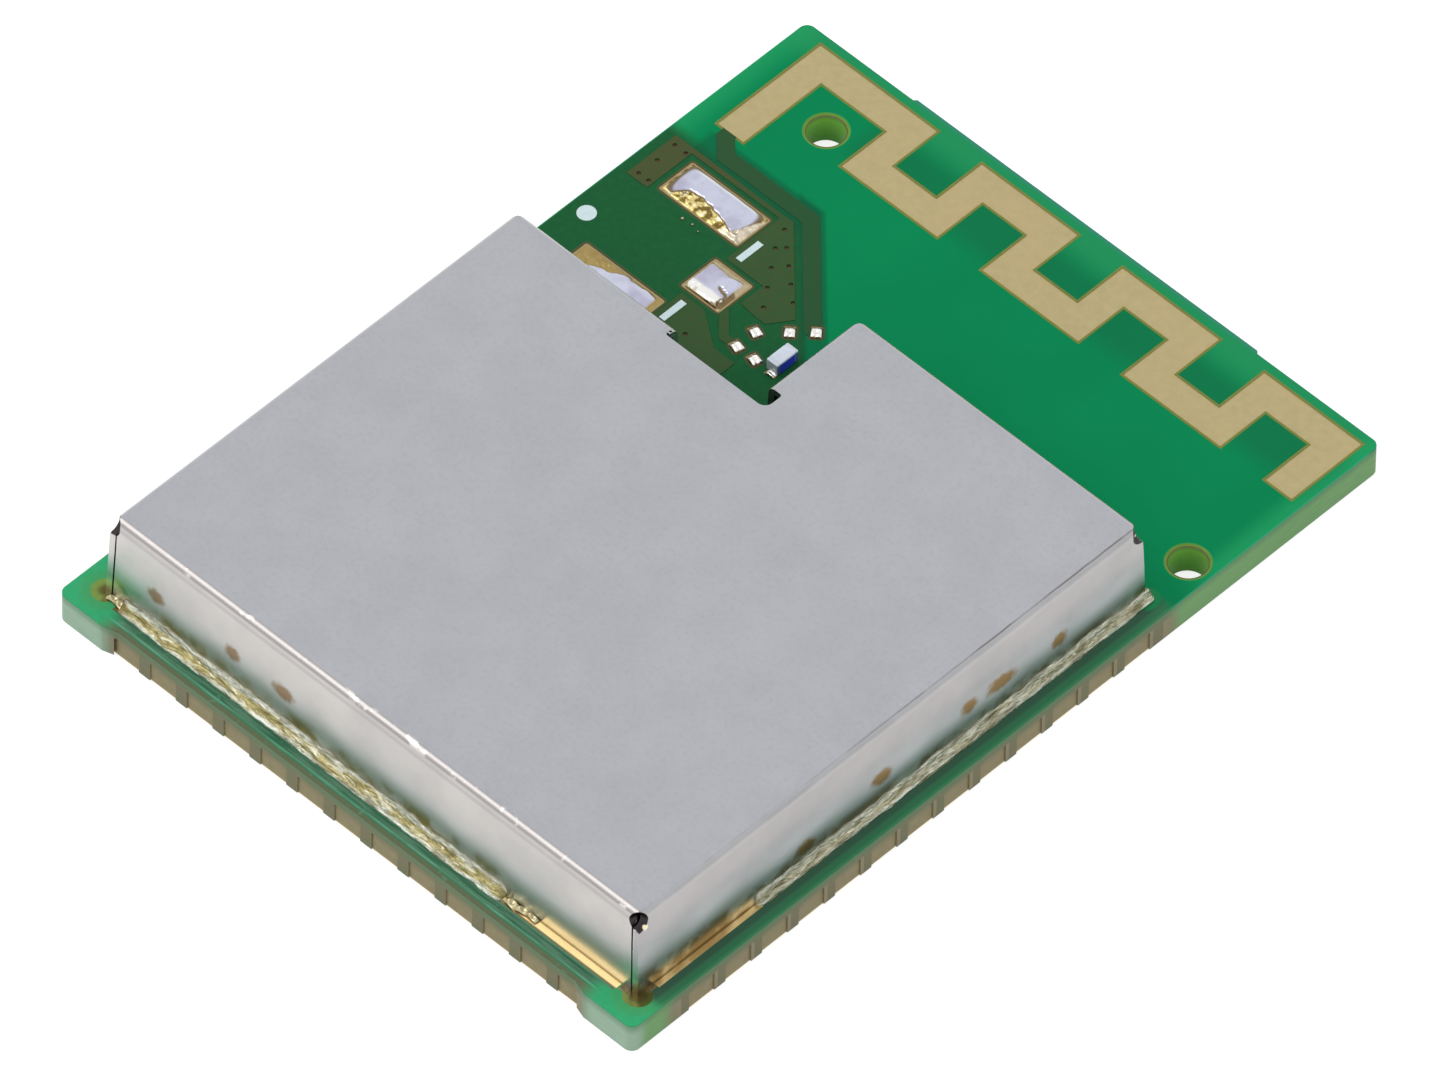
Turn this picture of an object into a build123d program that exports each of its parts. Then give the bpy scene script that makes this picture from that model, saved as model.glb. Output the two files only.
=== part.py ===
from build123d import *
import math
import os

os.makedirs("parts", exist_ok=True)

# A surface-mount radio module: a small circuit board that carries a folded
# sheet-metal shield over most of its top, a meander antenna at the far end,
# and the bare lands of a coaxial socket in a notch of the shield.
# Millimetres. X is across the board, Y runs along it towards the antenna,
# Z is up, and Z = 0 is the face that is soldered down.

# Circuit board
board_width = 15.5
board_length = 20.7
board_thickness = 0.73
board_corner_radius = 0.2
coat_thickness = 0.025
snap_stub_proud = 0.06
snap_stub_from_left = 2.9
snap_stub_from_right = 3.3
front_relief_depth = 0.11
front_relief_from_left = 1.2
front_relief_from_right = 1.3
front_relief_ramp = 0.35

# Tooling holes
tooling_hole_diameter = 0.8
tooling_ring_diameter = 0.96
tooling_hole_1_from_left = 2.25
tooling_hole_1_from_back = 1.77
tooling_hole_2_from_right = 0.59
tooling_hole_2_from_back = 4.78

# Solder contacts: one row on each of three edges
contacts_per_side = 13
contact_pitch = 1.0
contact_width = 0.7
contact_length = 1.1
contact_height = 0.5
contact_plating = 0.03
contact_sink = 0.03
side_row_first_from_front = 1.9

# Antenna
antenna_width = 0.72
antenna_thickness = 0.018
antenna_row_gap = 1.27
antenna_from_back = 0.24
antenna_from_right = 0.265
antenna_from_left = 0.6
antenna_first_run = 2.485
antenna_first_leg = 2.9
antenna_half_turns = 7

# Copper that runs under the solder mask and lifts it
coated_copper_rise = 0.012
feed_width = 0.36
feed_drop = 0.13
feed_straight_end_from_left = 3.65
feed_bend_drop = 0.5
feed_clearance = 0.16
signal_width = 0.2
pour_clearance = 0.12
pour_edge_gap = 0.25
pour_top_from_back = 3.93
pour_left_width = 0.55
pour_left_length = 1.37
pour_past_shield = 0.08

# Plated holes in that copper: across from the pour's left edge or from the
# upper long land's right end, and down from the pour's top
pour_via_diameter = 0.1
left_vias = [(0.17, 0.2), (0.47, 0.2), (0.2, 0.72), (0.18, 1.22), (0.45, 1.22)]
slope_via_first = (0.34, 0.26)
slope_via_step = (0.36, 0.31)
slope_vias = 5
inner_via_first = (0.55, 0.73)
inner_via_step = (0.3, 0.42)
inner_vias = 4
lower_vias = [(0.3, 3.07), (0.85, 3.55), (0.42, 3.72)]

# Lands of the unfitted coaxial socket
socket_from_left = 2.04
socket_from_back = 6.15
socket_land_length = 2.17
socket_land_width = 0.98
socket_land_spacing = 2.95
signal_land_length = 1.05
signal_land_width = 1.0
signal_land_offset = 1.5
land_corner_radius = 0.06
tin_rim = 0.07
tin_height = 0.09

# Solder-topped lands of the unfitted matching parts: across and along from
# the fitted one, and the turn of each
bump_land_length = 0.32
bump_land_width = 0.25
bump_height = 0.07
bump_spots = [
    (-0.1, 1.05, -50),
    (-0.47, 0.69, -50),
    (-0.95, 0.22, -20),
    (-0.95, -0.3, -15),
    (-0.47, -0.3, -15),
]

# Fitted matching part beside the shield
match_length = 0.6
match_width = 0.3
match_height = 0.3
match_end_length = 0.1
match_from_left = 5.85
match_from_back = 6.7

# White printed marks
print_thickness = 0.012
dot_diameter = 0.4
dot_from_left = 0.43
dot_from_back = 6.6
dash_width = 0.15
dash_length = 0.62
dash_gap = 0.26

# Folded sheet shield
sheet = 0.15
shield_height = 2.15
bend_radius = 0.2
wall_lean = 2.1
shield_from_left = 0.63
shield_from_right = 0.52
shield_from_front = 0.685
shield_from_back = 6.04
notch_width = 6.61
notch_length = 2.69
relief_diameter = 0.48
relief_drop = 0.2
seam_width = 0.04
window_width = 2.63
window_depth = 0.44
window_past_notch = 0.44
window_corner_radius = 0.2
window_nick_diameter = 0.16

# Shield lands on the board and the solder along the shield's foot
shield_land_out_front = 0.25
shield_land_out = 0.15
shield_land_in = 0.1
shield_land_end_gap = 0.42
corner_land_radius = 0.4
bead_rise = 0.27
bead_width_front = 0.25
bead_width_side = 0.15
front_bead_length = 10.4
front_bead_from_corner = 0.48
right_bead_length = 10.95
right_bead_past_corner = 0.16
bead_end_gap = 0.35

# Radio chip
chip_share_of_room = 0.62
chip_height = 0.85
chip_from_middle = 0.545
chip_towards_front = 0.75
chip_leads_per_side = 12
chip_lead_width = 0.24
chip_lead_length = 0.4
chip_lead_thickness = 0.2
chip_pad_margin = 0.8

# Crystal, power inductor and small parts
crystal_length = 2.0
crystal_width = 1.6
crystal_base_height = 0.35
crystal_lid_height = 0.15
crystal_lid_margin = 0.12
inductor_length = 2.0
inductor_width = 1.6
inductor_height = 1.0
inductor_end_length = 0.45
capacitor_height = 0.5
resistor_height = 0.35
filter_coil_height = 0.4
small_part_length = 1.0
small_part_width = 0.5
small_end_length = 0.25
row_from_chip = 0.9
end_to_end_pitch = 1.45
side_by_side_pitch = 0.8
filter_coils = 3

# Edges of the board, and levels
left_edge = -board_width / 2
right_edge = board_width / 2
front_edge = -(board_length + snap_stub_proud) / 2
back_edge = front_edge + board_length
board_top = board_thickness
laminate_top = board_thickness - coat_thickness
coated_copper_top = board_top + coated_copper_rise

# Middles of the antenna's first leg and of its vertical legs
antenna_first_x = left_edge + antenna_from_left + antenna_width / 2
antenna_last_x = right_edge - antenna_from_right - antenna_width / 2
antenna_turns_width = antenna_last_x - antenna_first_x - antenna_first_run
antenna_leg_pitch = antenna_turns_width / (antenna_half_turns - 1)


def rect(x0, x1, y0, y1):
    """A flat rectangle between two corners."""
    return Pos((x0 + x1) / 2, (y0 + y1) / 2) * Rectangle(abs(x1 - x0), abs(y1 - y0))


def area(points):
    """A flat face inside a closed outline."""
    return make_face(Polyline(*points, close=True))


def raise_from(sketch, low, high):
    """A flat sketch made solid between two levels."""
    return extrude(Pos(0, 0, low) * sketch, amount=high - low)


def block(x0, x1, y0, y1, low, high):
    """A plain block between two corners and two levels."""
    return raise_from(rect(x0, x1, y0, y1), low, high)


def path_face(points, width):
    """A flat track of one width along a path of right angles, with square ends and corners."""
    face = None
    for start, end in zip(points, points[1:]):
        run = Vector(*end) - Vector(*start)
        middle = (Vector(*end) + Vector(*start)) / 2
        angle = math.degrees(math.atan2(run.Y, run.X))
        leg = Pos(middle.X, middle.Y) * Rot(0, 0, angle) * Rectangle(run.length + width, width)
        face = leg if face is None else face + leg
    return face


def mitred_face(points, width):
    """A flat track of one width along a path of slanting runs, its corners mitred."""
    middles = [Vector(*point) for point in points]
    runs = [(end - start).normalized() for start, end in zip(middles, middles[1:])]
    sides = [Vector(-run.Y, run.X) for run in runs]
    turns = [(a + b) * (1 / (1 + a.dot(b))) for a, b in zip(sides, sides[1:])]
    shifts = [side * (width / 2) for side in [sides[0], *turns, sides[-1]]]
    outline = [middle + shift for middle, shift in zip(middles, shifts)]
    outline += [middle - shift for middle, shift in zip(middles[::-1], shifts[::-1])]
    return area([(point.X, point.Y) for point in outline])


def join(shapes):
    """Several shapes as one group."""
    return Compound(children=[part for shape in shapes for part in shape.solids()])


def save(name, shape):
    """Write one node, with its separate solids."""
    solids = shape.solids()
    shape = solids[0] if len(solids) == 1 else Compound(children=list(solids))
    export_step(shape, f"parts/{name}.step")


# Places that several pieces share

tooling_holes = [
    (left_edge + tooling_hole_1_from_left, back_edge - tooling_hole_1_from_back),
    (right_edge - tooling_hole_2_from_right, back_edge - tooling_hole_2_from_back),
]
shield_left = left_edge + shield_from_left
shield_right = right_edge - shield_from_right
shield_front = front_edge + shield_from_front
shield_back = back_edge - shield_from_back
notch_x = shield_left + notch_width
notch_y = shield_back - notch_length
socket_x = left_edge + socket_from_left
socket_y = back_edge - socket_from_back
socket_lands = [
    (socket_x, socket_y + socket_land_spacing / 2),
    (socket_x, socket_y - socket_land_spacing / 2),
]
signal_land = (socket_x + signal_land_offset, socket_y)
match_place = (left_edge + match_from_left, back_edge - match_from_back)


def contact_places(side):
    """Middle of each contact's outer end on one edge, turned to face inwards."""
    first = -(contacts_per_side - 1) / 2 * contact_pitch
    places = []
    for index in range(contacts_per_side):
        along = index * contact_pitch
        if side == "front":
            places.append(Pos(first + along, front_edge + front_relief_depth) * Rot(0, 0, 0))
        if side == "right":
            y = front_edge + side_row_first_from_front + along
            places.append(Pos(right_edge, y) * Rot(0, 0, 90))
        if side == "left":
            y = front_edge + side_row_first_from_front + along
            places.append(Pos(left_edge, y) * Rot(0, 0, -90))
    return places


def contact_pocket():
    """Room in the laminate for one contact, at the origin and facing +Y."""
    half = contact_width / 2
    foot = block(-half, half, -contact_plating, contact_length, 0, contact_plating)
    wall = block(-half, half, -contact_plating, contact_sink + contact_plating, 0, contact_height)
    return foot + wall


def contact():
    """One contact: a land underneath that turns up the edge of the board."""
    half = contact_width / 2
    foot = block(-half, half, contact_sink, contact_length, 0, contact_plating)
    wall = block(-half, half, contact_sink, contact_sink + contact_plating, 0, contact_height)
    return foot + wall


def board_face():
    """Outline of the board, with its snapped-off tab stub and relieved front edge."""
    face = fillet(
        rect(left_edge, right_edge, front_edge, back_edge).vertices(), board_corner_radius
    )
    stub_left = left_edge + snap_stub_from_left
    stub_right = right_edge - snap_stub_from_right
    face += area([
        (stub_left, back_edge),
        (stub_left + snap_stub_proud, back_edge + snap_stub_proud),
        (stub_right - snap_stub_proud, back_edge + snap_stub_proud),
        (stub_right, back_edge),
        (stub_right, back_edge - board_corner_radius),
        (stub_left, back_edge - board_corner_radius),
    ])
    relief_left = left_edge + front_relief_from_left
    relief_right = right_edge - front_relief_from_right
    face -= area([
        (relief_left, front_edge),
        (relief_left + front_relief_ramp, front_edge + front_relief_depth),
        (relief_right - front_relief_ramp, front_edge + front_relief_depth),
        (relief_right, front_edge),
        (relief_right, front_edge - board_corner_radius),
        (relief_left, front_edge - board_corner_radius),
    ])
    return face


def hole_faces(diameter):
    """Circles of one size at the tooling holes."""
    return Sketch() + [Pos(x, y) * Circle(diameter / 2) for x, y in tooling_holes]


def antenna_face():
    """The meander: a first leg down to the feed, then square turns to the far edge."""
    top = back_edge - antenna_from_back - antenna_width / 2
    low = top - antenna_row_gap
    foot = top + antenna_width / 2 - antenna_first_leg + antenna_width / 2
    points = [(antenna_first_x, foot), (antenna_first_x, top)]
    for index in range(antenna_half_turns):
        x = antenna_first_x + antenna_first_run + index * antenna_leg_pitch
        rows = (top, low) if index % 2 == 0 else (low, top)
        points += [(x, rows[0]), (x, rows[1])]
    return path_face(points, antenna_width)


def antenna_foot():
    """Middle of the antenna's end, where the feed line meets it."""
    return antenna_first_x, back_edge - antenna_from_back - antenna_first_leg


# Lands of the matching parts that aren't fitted: place and turn of each
match_x, match_y = match_place
bump_places = [((match_x + across, match_y + along), turn) for across, along, turn in bump_spots]
feed_end = bump_places[0][0]
signal_end = bump_places[-2][0]
feed_level = antenna_foot()[1] - feed_bend_drop
feed_turn_x = left_edge + feed_straight_end_from_left


def feed_face():
    """Feed line from the antenna's foot, level past the socket, then down at 45 degrees."""
    x, y = antenna_foot()
    points = [(x, y), (x, y - feed_drop)]
    points += [(x + feed_bend_drop - feed_drop, feed_level), (feed_turn_x, feed_level)]
    points += [(feed_turn_x + feed_level - feed_end[1], feed_end[1]), feed_end]
    return mitred_face(points, feed_width) - bump_faces(0)


def signal_face():
    """Short line from the socket's middle land to the first matching land."""
    x, y = signal_land
    start = (x + signal_land_length / 2 - signal_width / 2, y - signal_land_width / 4)
    turn = (start[0] + start[1] - signal_end[1], signal_end[1])
    track = mitred_face([start, turn, signal_end], signal_width)
    return track - signal_land_face() - bump_faces(0)


def pour_outline():
    """Ground copper around the socket, clear of the feed and signal lines and the lands."""
    top = back_edge - pour_top_from_back
    left = left_edge + pour_edge_gap
    inner = socket_x + socket_land_length / 2 + pour_clearance / 2
    left_block = rect(left, left + pour_left_width, top - pour_left_length, top)
    top_strip = rect(left, inner, top - pour_clearance, top)
    slope = feed_turn_x + feed_level - (feed_width / 2 + feed_clearance) * math.sqrt(2)
    signal_middle = signal_land[0] + signal_land_length / 2
    waist_high = signal_land[1] + signal_land_width / 2 + pour_clearance
    waist_low = signal_land[1] - signal_land_width / 2 - pour_clearance
    near_x, near_y = bump_places[1][0]
    far_x, far_y = bump_places[2][0]
    past = bump_land_length / 2 + pour_clearance
    upper = area([
        (inner, top),
        (slope - top, top),
        (near_x - past / 2, slope - near_x + past / 2),
        (far_x, far_y + past),
        (far_x - past, far_y + past),
        (signal_middle + pour_clearance, signal_land[1]),
        (signal_middle + pour_clearance, waist_high),
        (inner, waist_high),
    ])
    low = notch_y + pour_past_shield
    line_clear = signal_width / 2 + pour_clearance
    lower = area([
        (inner, waist_low),
        (signal_middle - signal_land_length / 4, waist_low),
        (signal_end[0] - past, signal_end[1] - line_clear - pour_clearance),
        (signal_end[0] + past, signal_end[1] - line_clear - pour_clearance),
        (signal_end[0] + past, low),
        (inner, low),
    ])
    return left_block + top_strip + upper + lower


def via_places():
    """Plated holes that tie the ground copper to the board's inner layers."""
    top = back_edge - pour_top_from_back
    left = left_edge + pour_edge_gap
    inner = socket_x + socket_land_length / 2
    places = [(left + across, top - down) for across, down in left_vias]
    places += [(inner + across, top - down) for across, down in lower_vias]
    rows = [
        (slope_via_first, slope_via_step, slope_vias),
        (inner_via_first, inner_via_step, inner_vias),
    ]
    for first, step, count in rows:
        places += [(inner + first[0] + step[0] * i, top - first[1] - step[1] * i) for i in range(count)]
    return places


def via_faces():
    """Circles of the plated holes."""
    return Sketch() + [Pos(*place) * Circle(pour_via_diameter / 2) for place in via_places()]


def rounded_rect(x, y, length, width, turn=0):
    """A land: a rectangle with slightly rounded corners."""
    return Pos(x, y) * Rot(0, 0, turn) * RectangleRounded(length, width, land_corner_radius)


def socket_land_face(index):
    """One of the two long lands."""
    return rounded_rect(*socket_lands[index], socket_land_length, socket_land_width)


def signal_land_face():
    """The middle land of the socket."""
    return rounded_rect(*signal_land, signal_land_length, signal_land_width)


def bump_faces(inset):
    """Lands of the unfitted matching parts, each smaller by an inset all round."""
    faces = Sketch()
    for (x, y), turn in bump_places:
        faces += rounded_rect(x, y, bump_land_length - 2 * inset, bump_land_width - 2 * inset, turn)
    return faces


# The shield's foot, walls and lands

def shield_points(inset):
    """Corners of the shield's plan, moved inwards by an inset, counterclockwise."""
    return [
        (shield_left + inset, shield_front + inset),
        (shield_right - inset, shield_front + inset),
        (shield_right - inset, shield_back - inset),
        (notch_x + inset, shield_back - inset),
        (notch_x + inset, notch_y - inset),
        (shield_left + inset, notch_y - inset),
    ]


def lean_in(height):
    """How far a wall has come inwards at a height above its foot."""
    return height * math.tan(math.radians(wall_lean))


def leaning_block(inset, height, radius):
    """The shield's plan raised with leaning walls and rounded top edges."""
    foot = Pos(0, 0, board_top) * area(shield_points(inset))
    head = Pos(0, 0, board_top + height) * area(shield_points(inset + lean_in(height)))
    body = loft([foot, head], ruled=True)
    return fillet(body.edges().group_by(Axis.Z)[-1], radius)


def shield_reliefs():
    """Round reliefs where two bends meet, and the seams between the walls below them."""
    leaned = lean_in(shield_height)
    lid_top = board_top + shield_height
    cuts = []
    for x, y in shield_points(leaned):
        cuts.append(Pos(x, y, lid_top - relief_drop) * Sphere(relief_diameter / 2))
    reach = sheet + leaned
    low = board_top - coat_thickness
    high = lid_top - relief_drop
    gap = seam_width
    inner_left = shield_left + sheet
    inner_right = shield_right - sheet
    front = (shield_front - leaned, shield_front + reach)
    back = (shield_back - reach, shield_back + leaned)
    ledge = (notch_y - reach, notch_y + leaned)
    cuts.append(block(inner_left, inner_left + gap, *front, low, high))
    cuts.append(block(inner_right - gap, inner_right, *front, low, high))
    cuts.append(block(inner_right - gap, inner_right, *back, low, high))
    cuts.append(block(inner_left, inner_left + gap, *ledge, low, high))
    inner_notch = notch_x + reach
    cuts.append(block(inner_notch, inner_notch + gap, *back, low, high))
    return cuts


def shield_window():
    """Gap in the notch's wall where the signal line enters, cut back into the lid."""
    right = notch_x + window_past_notch
    left = right - window_width
    low_y = notch_y - window_depth + lean_in(shield_height)
    corner = min(window_corner_radius, window_depth / 2)
    face = rect(left, right, low_y, notch_y + window_depth / 4)
    face = fillet(face.vertices().group_by(Axis.Y)[0].group_by(Axis.X)[-1], corner)
    nick = Pos(left, low_y + window_nick_diameter / 2) * Circle(window_nick_diameter / 2)
    return raise_from(face + nick, board_top, board_top + 2 * shield_height)


def shield_can():
    """Folded sheet with a flat lid, rounded bends, seamed corners and an L-shaped plan."""
    outer = leaning_block(0, shield_height, bend_radius)
    inner_radius = max(bend_radius - sheet, sheet / 5)
    inner = leaning_block(sheet, shield_height - sheet, inner_radius)
    can = outer - inner - shield_window()
    for cut in shield_reliefs():
        can -= cut
    return can


def shield_land_face():
    """Bare copper strips under the walls, and round corner lands."""
    strips = Sketch()
    corners = shield_points(0)
    end = shield_land_end_gap
    strips += rect(shield_left + end, shield_right - end,
                   shield_front - shield_land_out_front, shield_front + sheet + shield_land_in)
    strips += rect(shield_right - sheet - shield_land_in, shield_right + shield_land_out,
                   shield_front + end, shield_back - end)
    strips += rect(shield_left - shield_land_out, shield_left + sheet + shield_land_in,
                   shield_front + end, notch_y - end)
    strips += rect(notch_x + end, shield_right - end,
                   shield_back - sheet - shield_land_in, shield_back + shield_land_out)
    strips += rect(notch_x - shield_land_out, notch_x + sheet + shield_land_in,
                   notch_y + end, shield_back - end)
    window_left = notch_x + window_past_notch - window_width
    strips += rect(shield_left + end, window_left - shield_land_in,
                   notch_y - sheet - shield_land_in, notch_y + shield_land_out)
    for index in (0, 1, 2, 3, 5):
        strips += Pos(*corners[index]) * Circle(corner_land_radius / 2 + shield_land_in)
    return strips


def bead(length, width, rise):
    """Solder fillet along +X against a leaning wall at Y = 0, hollow-faced, on Z = 0."""
    low = (width, 0)
    high = (-lean_in(rise), rise)
    bulge = (width * 0.34, rise * 0.34)
    outline = Polyline(high, (0, 0), low) + ThreePointArc(low, bulge, high)
    face = Plane.YZ * make_face(outline)
    return extrude(face, amount=length)


def solder_beads():
    """One bead for each wall, laid along its foot. Name, place, turn, length and width."""
    end = bead_end_gap
    window_left = notch_x + window_past_notch - window_width
    runs = {
        "solder_front": (shield_left + front_bead_from_corner + front_bead_length, shield_front,
                         180, front_bead_length, bead_width_front),
        "solder_right": (shield_right, shield_back + right_bead_past_corner, -90,
                         right_bead_length, bead_width_side),
        "solder_left": (shield_left, shield_front + end, 90,
                        notch_y - shield_front - 2 * end, bead_width_side),
        "solder_back": (notch_x + end, shield_back, 0,
                        shield_right - notch_x - 2 * end, bead_width_side),
        "solder_notch_side": (notch_x, notch_y + window_depth / 4 + end, 90,
                              shield_back - notch_y - window_depth / 4 - 2 * end, bead_width_side),
        "solder_notch_ledge": (shield_left + end, notch_y, 0,
                               window_left - shield_left - 2 * end, bead_width_side),
    }
    return {
        name: Pos(x, y, board_top) * Rot(0, 0, turn) * bead(length, width, bead_rise)
        for name, (x, y, turn, length, width) in runs.items()
    }


# Parts under the shield

chip_x = (shield_left + shield_right) / 2 + chip_from_middle
chip_y = (shield_front + notch_y) / 2 - chip_towards_front
chip_size = chip_share_of_room * (notch_y - shield_front)
chip_lead_pitch = chip_size / (chip_leads_per_side + 2)


def chip_place():
    """Middle of the radio chip on the board."""
    return Pos(chip_x, chip_y, board_top)


def chip_lead_places():
    """Outer end of each lead, turned to face inwards."""
    first = -(chip_leads_per_side - 1) / 2 * chip_lead_pitch
    half = chip_size / 2
    return [
        Rot(0, 0, turn) * Pos(first + index * chip_lead_pitch, -half)
        for turn in (0, 90, 180, 270)
        for index in range(chip_leads_per_side)
    ]


def chip_lead():
    """One flat lead, flush with the chip's underside and side."""
    half = min(chip_lead_width, chip_lead_pitch / 2) / 2
    return block(-half, half, 0, chip_lead_length, 0, chip_lead_thickness)


def chip_leads():
    """All the leads of the radio chip."""
    return [chip_place() * place * chip_lead() for place in chip_lead_places()]


def chip_pad():
    """Bare metal pad in the middle of the chip's underside, with its corner cut off."""
    half = chip_size / 2 - chip_pad_margin
    notch = chip_lead_length
    outline = [(-half, -half), (half, -half), (half, half), (notch - half, half), (-half, half - notch)]
    return chip_place() * raise_from(area(outline), 0, chip_lead_thickness)


def radio_chip():
    """Moulded body of the chip, with a dimple at its first lead."""
    body = raise_from(Rectangle(chip_size, chip_size), 0, chip_height)
    body = chamfer(body.edges().group_by(Axis.Z)[-1], chip_lead_length / 4)
    corner = chip_size / 2 - 2 * chip_lead_length
    body -= Pos(-corner, corner, chip_height) * Sphere(chip_lead_length / 2)
    body = chip_place() * body - chip_pad()
    for lead in chip_leads():
        body -= lead
    return body


def crystal(x, y):
    """Ceramic base with rounded corners, and the metal lid welded to it."""
    base = RectangleRounded(crystal_length, crystal_width, crystal_lid_margin)
    lid = RectangleRounded(
        crystal_length - 2 * crystal_lid_margin,
        crystal_width - 2 * crystal_lid_margin,
        crystal_lid_margin,
    )
    place = Pos(x, y, board_top)
    step = crystal_base_height
    return (
        place * raise_from(base, 0, step),
        place * raise_from(lid, step, step + crystal_lid_height),
    )


def two_ended(length, width, height, end):
    """Body and two end caps of a small part, along X."""
    cap_x = length / 2 - end
    middle = block(-cap_x, cap_x, -width / 2, width / 2, 0, height)
    caps = [
        block(-length / 2, -cap_x, -width / 2, width / 2, 0, height),
        block(cap_x, length / 2, -width / 2, width / 2, 0, height),
    ]
    return middle, caps


def power_inductor(x, y):
    """Moulded inductor with a chamfered top and its two solder ends."""
    body, caps = two_ended(inductor_length, inductor_width, inductor_height, inductor_end_length)
    body = chamfer(body.edges().group_by(Axis.Z)[-1].filter_by(Axis.X), inductor_end_length / 4)
    place = Pos(x, y, board_top) * Rot(0, 0, 90)
    return place * body, [place * cap for cap in caps]


def small_parts(places, height):
    """Bodies and ends of one kind of small part at several places."""
    body, caps = two_ended(small_part_length, small_part_width, height, small_end_length)
    bodies = []
    ends = []
    for x, y, turn in places:
        place = Pos(x, y, board_top) * Rot(0, 0, turn)
        bodies.append(place * body)
        ends += [place * cap for cap in caps]
    return bodies, ends


def small_part_places():
    """Places of the small parts round the chip: x, y and turn of each."""
    half = chip_size / 2
    west = chip_x - half - row_from_chip
    east = chip_x + half + row_from_chip
    north = chip_y + half + row_from_chip
    low = chip_y - half + small_part_length / 2
    left = chip_x - half
    in_column = int((chip_size + end_to_end_pitch - small_part_length) / end_to_end_pitch)
    in_row = int((chip_size - small_part_width) / side_by_side_pitch) - filter_coils
    capacitors = [(west, low + end_to_end_pitch * i, 90) for i in range(in_column - 1)]
    capacitors += [(east, low + end_to_end_pitch * i, 90) for i in range(in_column)]
    first = left + (filter_coils + 1) * side_by_side_pitch
    capacitors += [(first + side_by_side_pitch * i, north, 90) for i in range(in_row - 1)]
    resistor_x = west - 1.5 * side_by_side_pitch
    resistors = [(resistor_x, low + end_to_end_pitch * i, 90) for i in range(in_column - 2)]
    coils = [(left + side_by_side_pitch * i, north, 90) for i in range(filter_coils)]
    return {"capacitor": capacitors, "resistor": resistors, "filter_coil": coils}


def build():
    """Make every piece and write each one as its own node."""
    mask_bare = antenna_face() + hole_faces(tooling_ring_diameter) + bump_faces(0)
    mask_bare += socket_land_face(0) + socket_land_face(1) + signal_land_face()
    mask_bare += feed_face() + signal_face() + shield_land_face()
    pour = pour_outline() - shield_land_face()

    board = raise_from(board_face() - hole_faces(tooling_hole_diameter), 0, laminate_top)
    for side in ("front", "left", "right"):
        places = contact_places(side)
        board -= [place * contact_pocket() for place in places]
        save(f"contacts_{side}", join([place * contact() for place in places]))
    save("circuit_board", board)
    save("mask_top", raise_from(board_face() - mask_bare - pour, laminate_top, board_top))

    antenna_top = laminate_top + antenna_thickness
    save("antenna", raise_from(antenna_face(), laminate_top, antenna_top))
    save("feed_line", raise_from(feed_face(), laminate_top, coated_copper_top))
    save("signal_line", raise_from(signal_face(), laminate_top, coated_copper_top))
    save("ground_copper", raise_from(pour - via_faces(), laminate_top, coated_copper_top))

    lands = {
        "upper": (socket_land_face(0), socket_land_length, socket_land_width, socket_lands[0]),
        "lower": (socket_land_face(1), socket_land_length, socket_land_width, socket_lands[1]),
        "middle": (signal_land_face(), signal_land_length, signal_land_width, signal_land),
    }
    for name, (face, length, width, place) in lands.items():
        save(f"socket_land_{name}", raise_from(face, laminate_top, board_top))
        top = RectangleRounded(length - 2 * tin_rim, width - 2 * tin_rim, land_corner_radius)
        tin = extrude(Pos(*place, board_top) * top, amount=tin_height)
        tin = fillet(tin.edges().group_by(Axis.Z)[-1], tin_height / 2)
        save(f"socket_tin_{name}", tin)

    save("matching_lands", raise_from(bump_faces(0), laminate_top, board_top))
    bumps = extrude(Pos(0, 0, board_top) * bump_faces(coat_thickness), amount=bump_height)
    save("matching_solder", fillet(bumps.edges().group_by(Axis.Z)[-1], bump_height / 2))

    match_body, match_ends = two_ended(match_length, match_width, match_height, match_end_length)
    match_spot = Pos(*match_place, board_top) * Rot(0, 0, 90)
    save("matching_part", match_spot * match_body)
    save("matching_part_ends", join([match_spot * end for end in match_ends]))

    dash_x = socket_x + socket_land_length / 2 + dash_gap
    dash_y = signal_land_width / 2 + dash_gap + dash_length / 2
    marks = Pos(left_edge + dot_from_left, back_edge - dot_from_back) * Circle(dot_diameter / 2)
    save("printed_dot", raise_from(marks, board_top, board_top + print_thickness))
    dashes = Sketch() + [
        Pos(dash_x, socket_y + side * dash_y) * Rectangle(dash_width, dash_length) for side in (1, -1)
    ]
    save("printed_dashes", raise_from(dashes, coated_copper_top, coated_copper_top + print_thickness))

    save("shield_lands", raise_from(shield_land_face(), laminate_top, board_top))
    save("shield", shield_can())
    for name, solder in solder_beads().items():
        save(name, solder)

    save("radio_chip", radio_chip())
    save("radio_chip_leads", join(chip_leads()))
    save("radio_chip_pad", chip_pad())
    base, lid = crystal(chip_x - chip_size / 2 - crystal_width, chip_y + chip_size / 2)
    save("crystal_base", base)
    save("crystal_lid", lid)
    coil, coil_ends = power_inductor(chip_x + chip_size / 2 - inductor_width / 4,
                                     chip_y + chip_size / 2 + inductor_length * 1.4)
    save("power_inductor", coil)
    save("power_inductor_ends", join(coil_ends))
    heights = {
        "capacitor": capacitor_height,
        "resistor": resistor_height,
        "filter_coil": filter_coil_height,
    }
    for kind, places in small_part_places().items():
        bodies, ends = small_parts(places, heights[kind])
        save(f"{kind}_bodies", join(bodies))
        save(f"{kind}_ends", join(ends))


build()
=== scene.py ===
import math
import bpy
import numpy as np
from mathutils import Matrix, Vector

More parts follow.
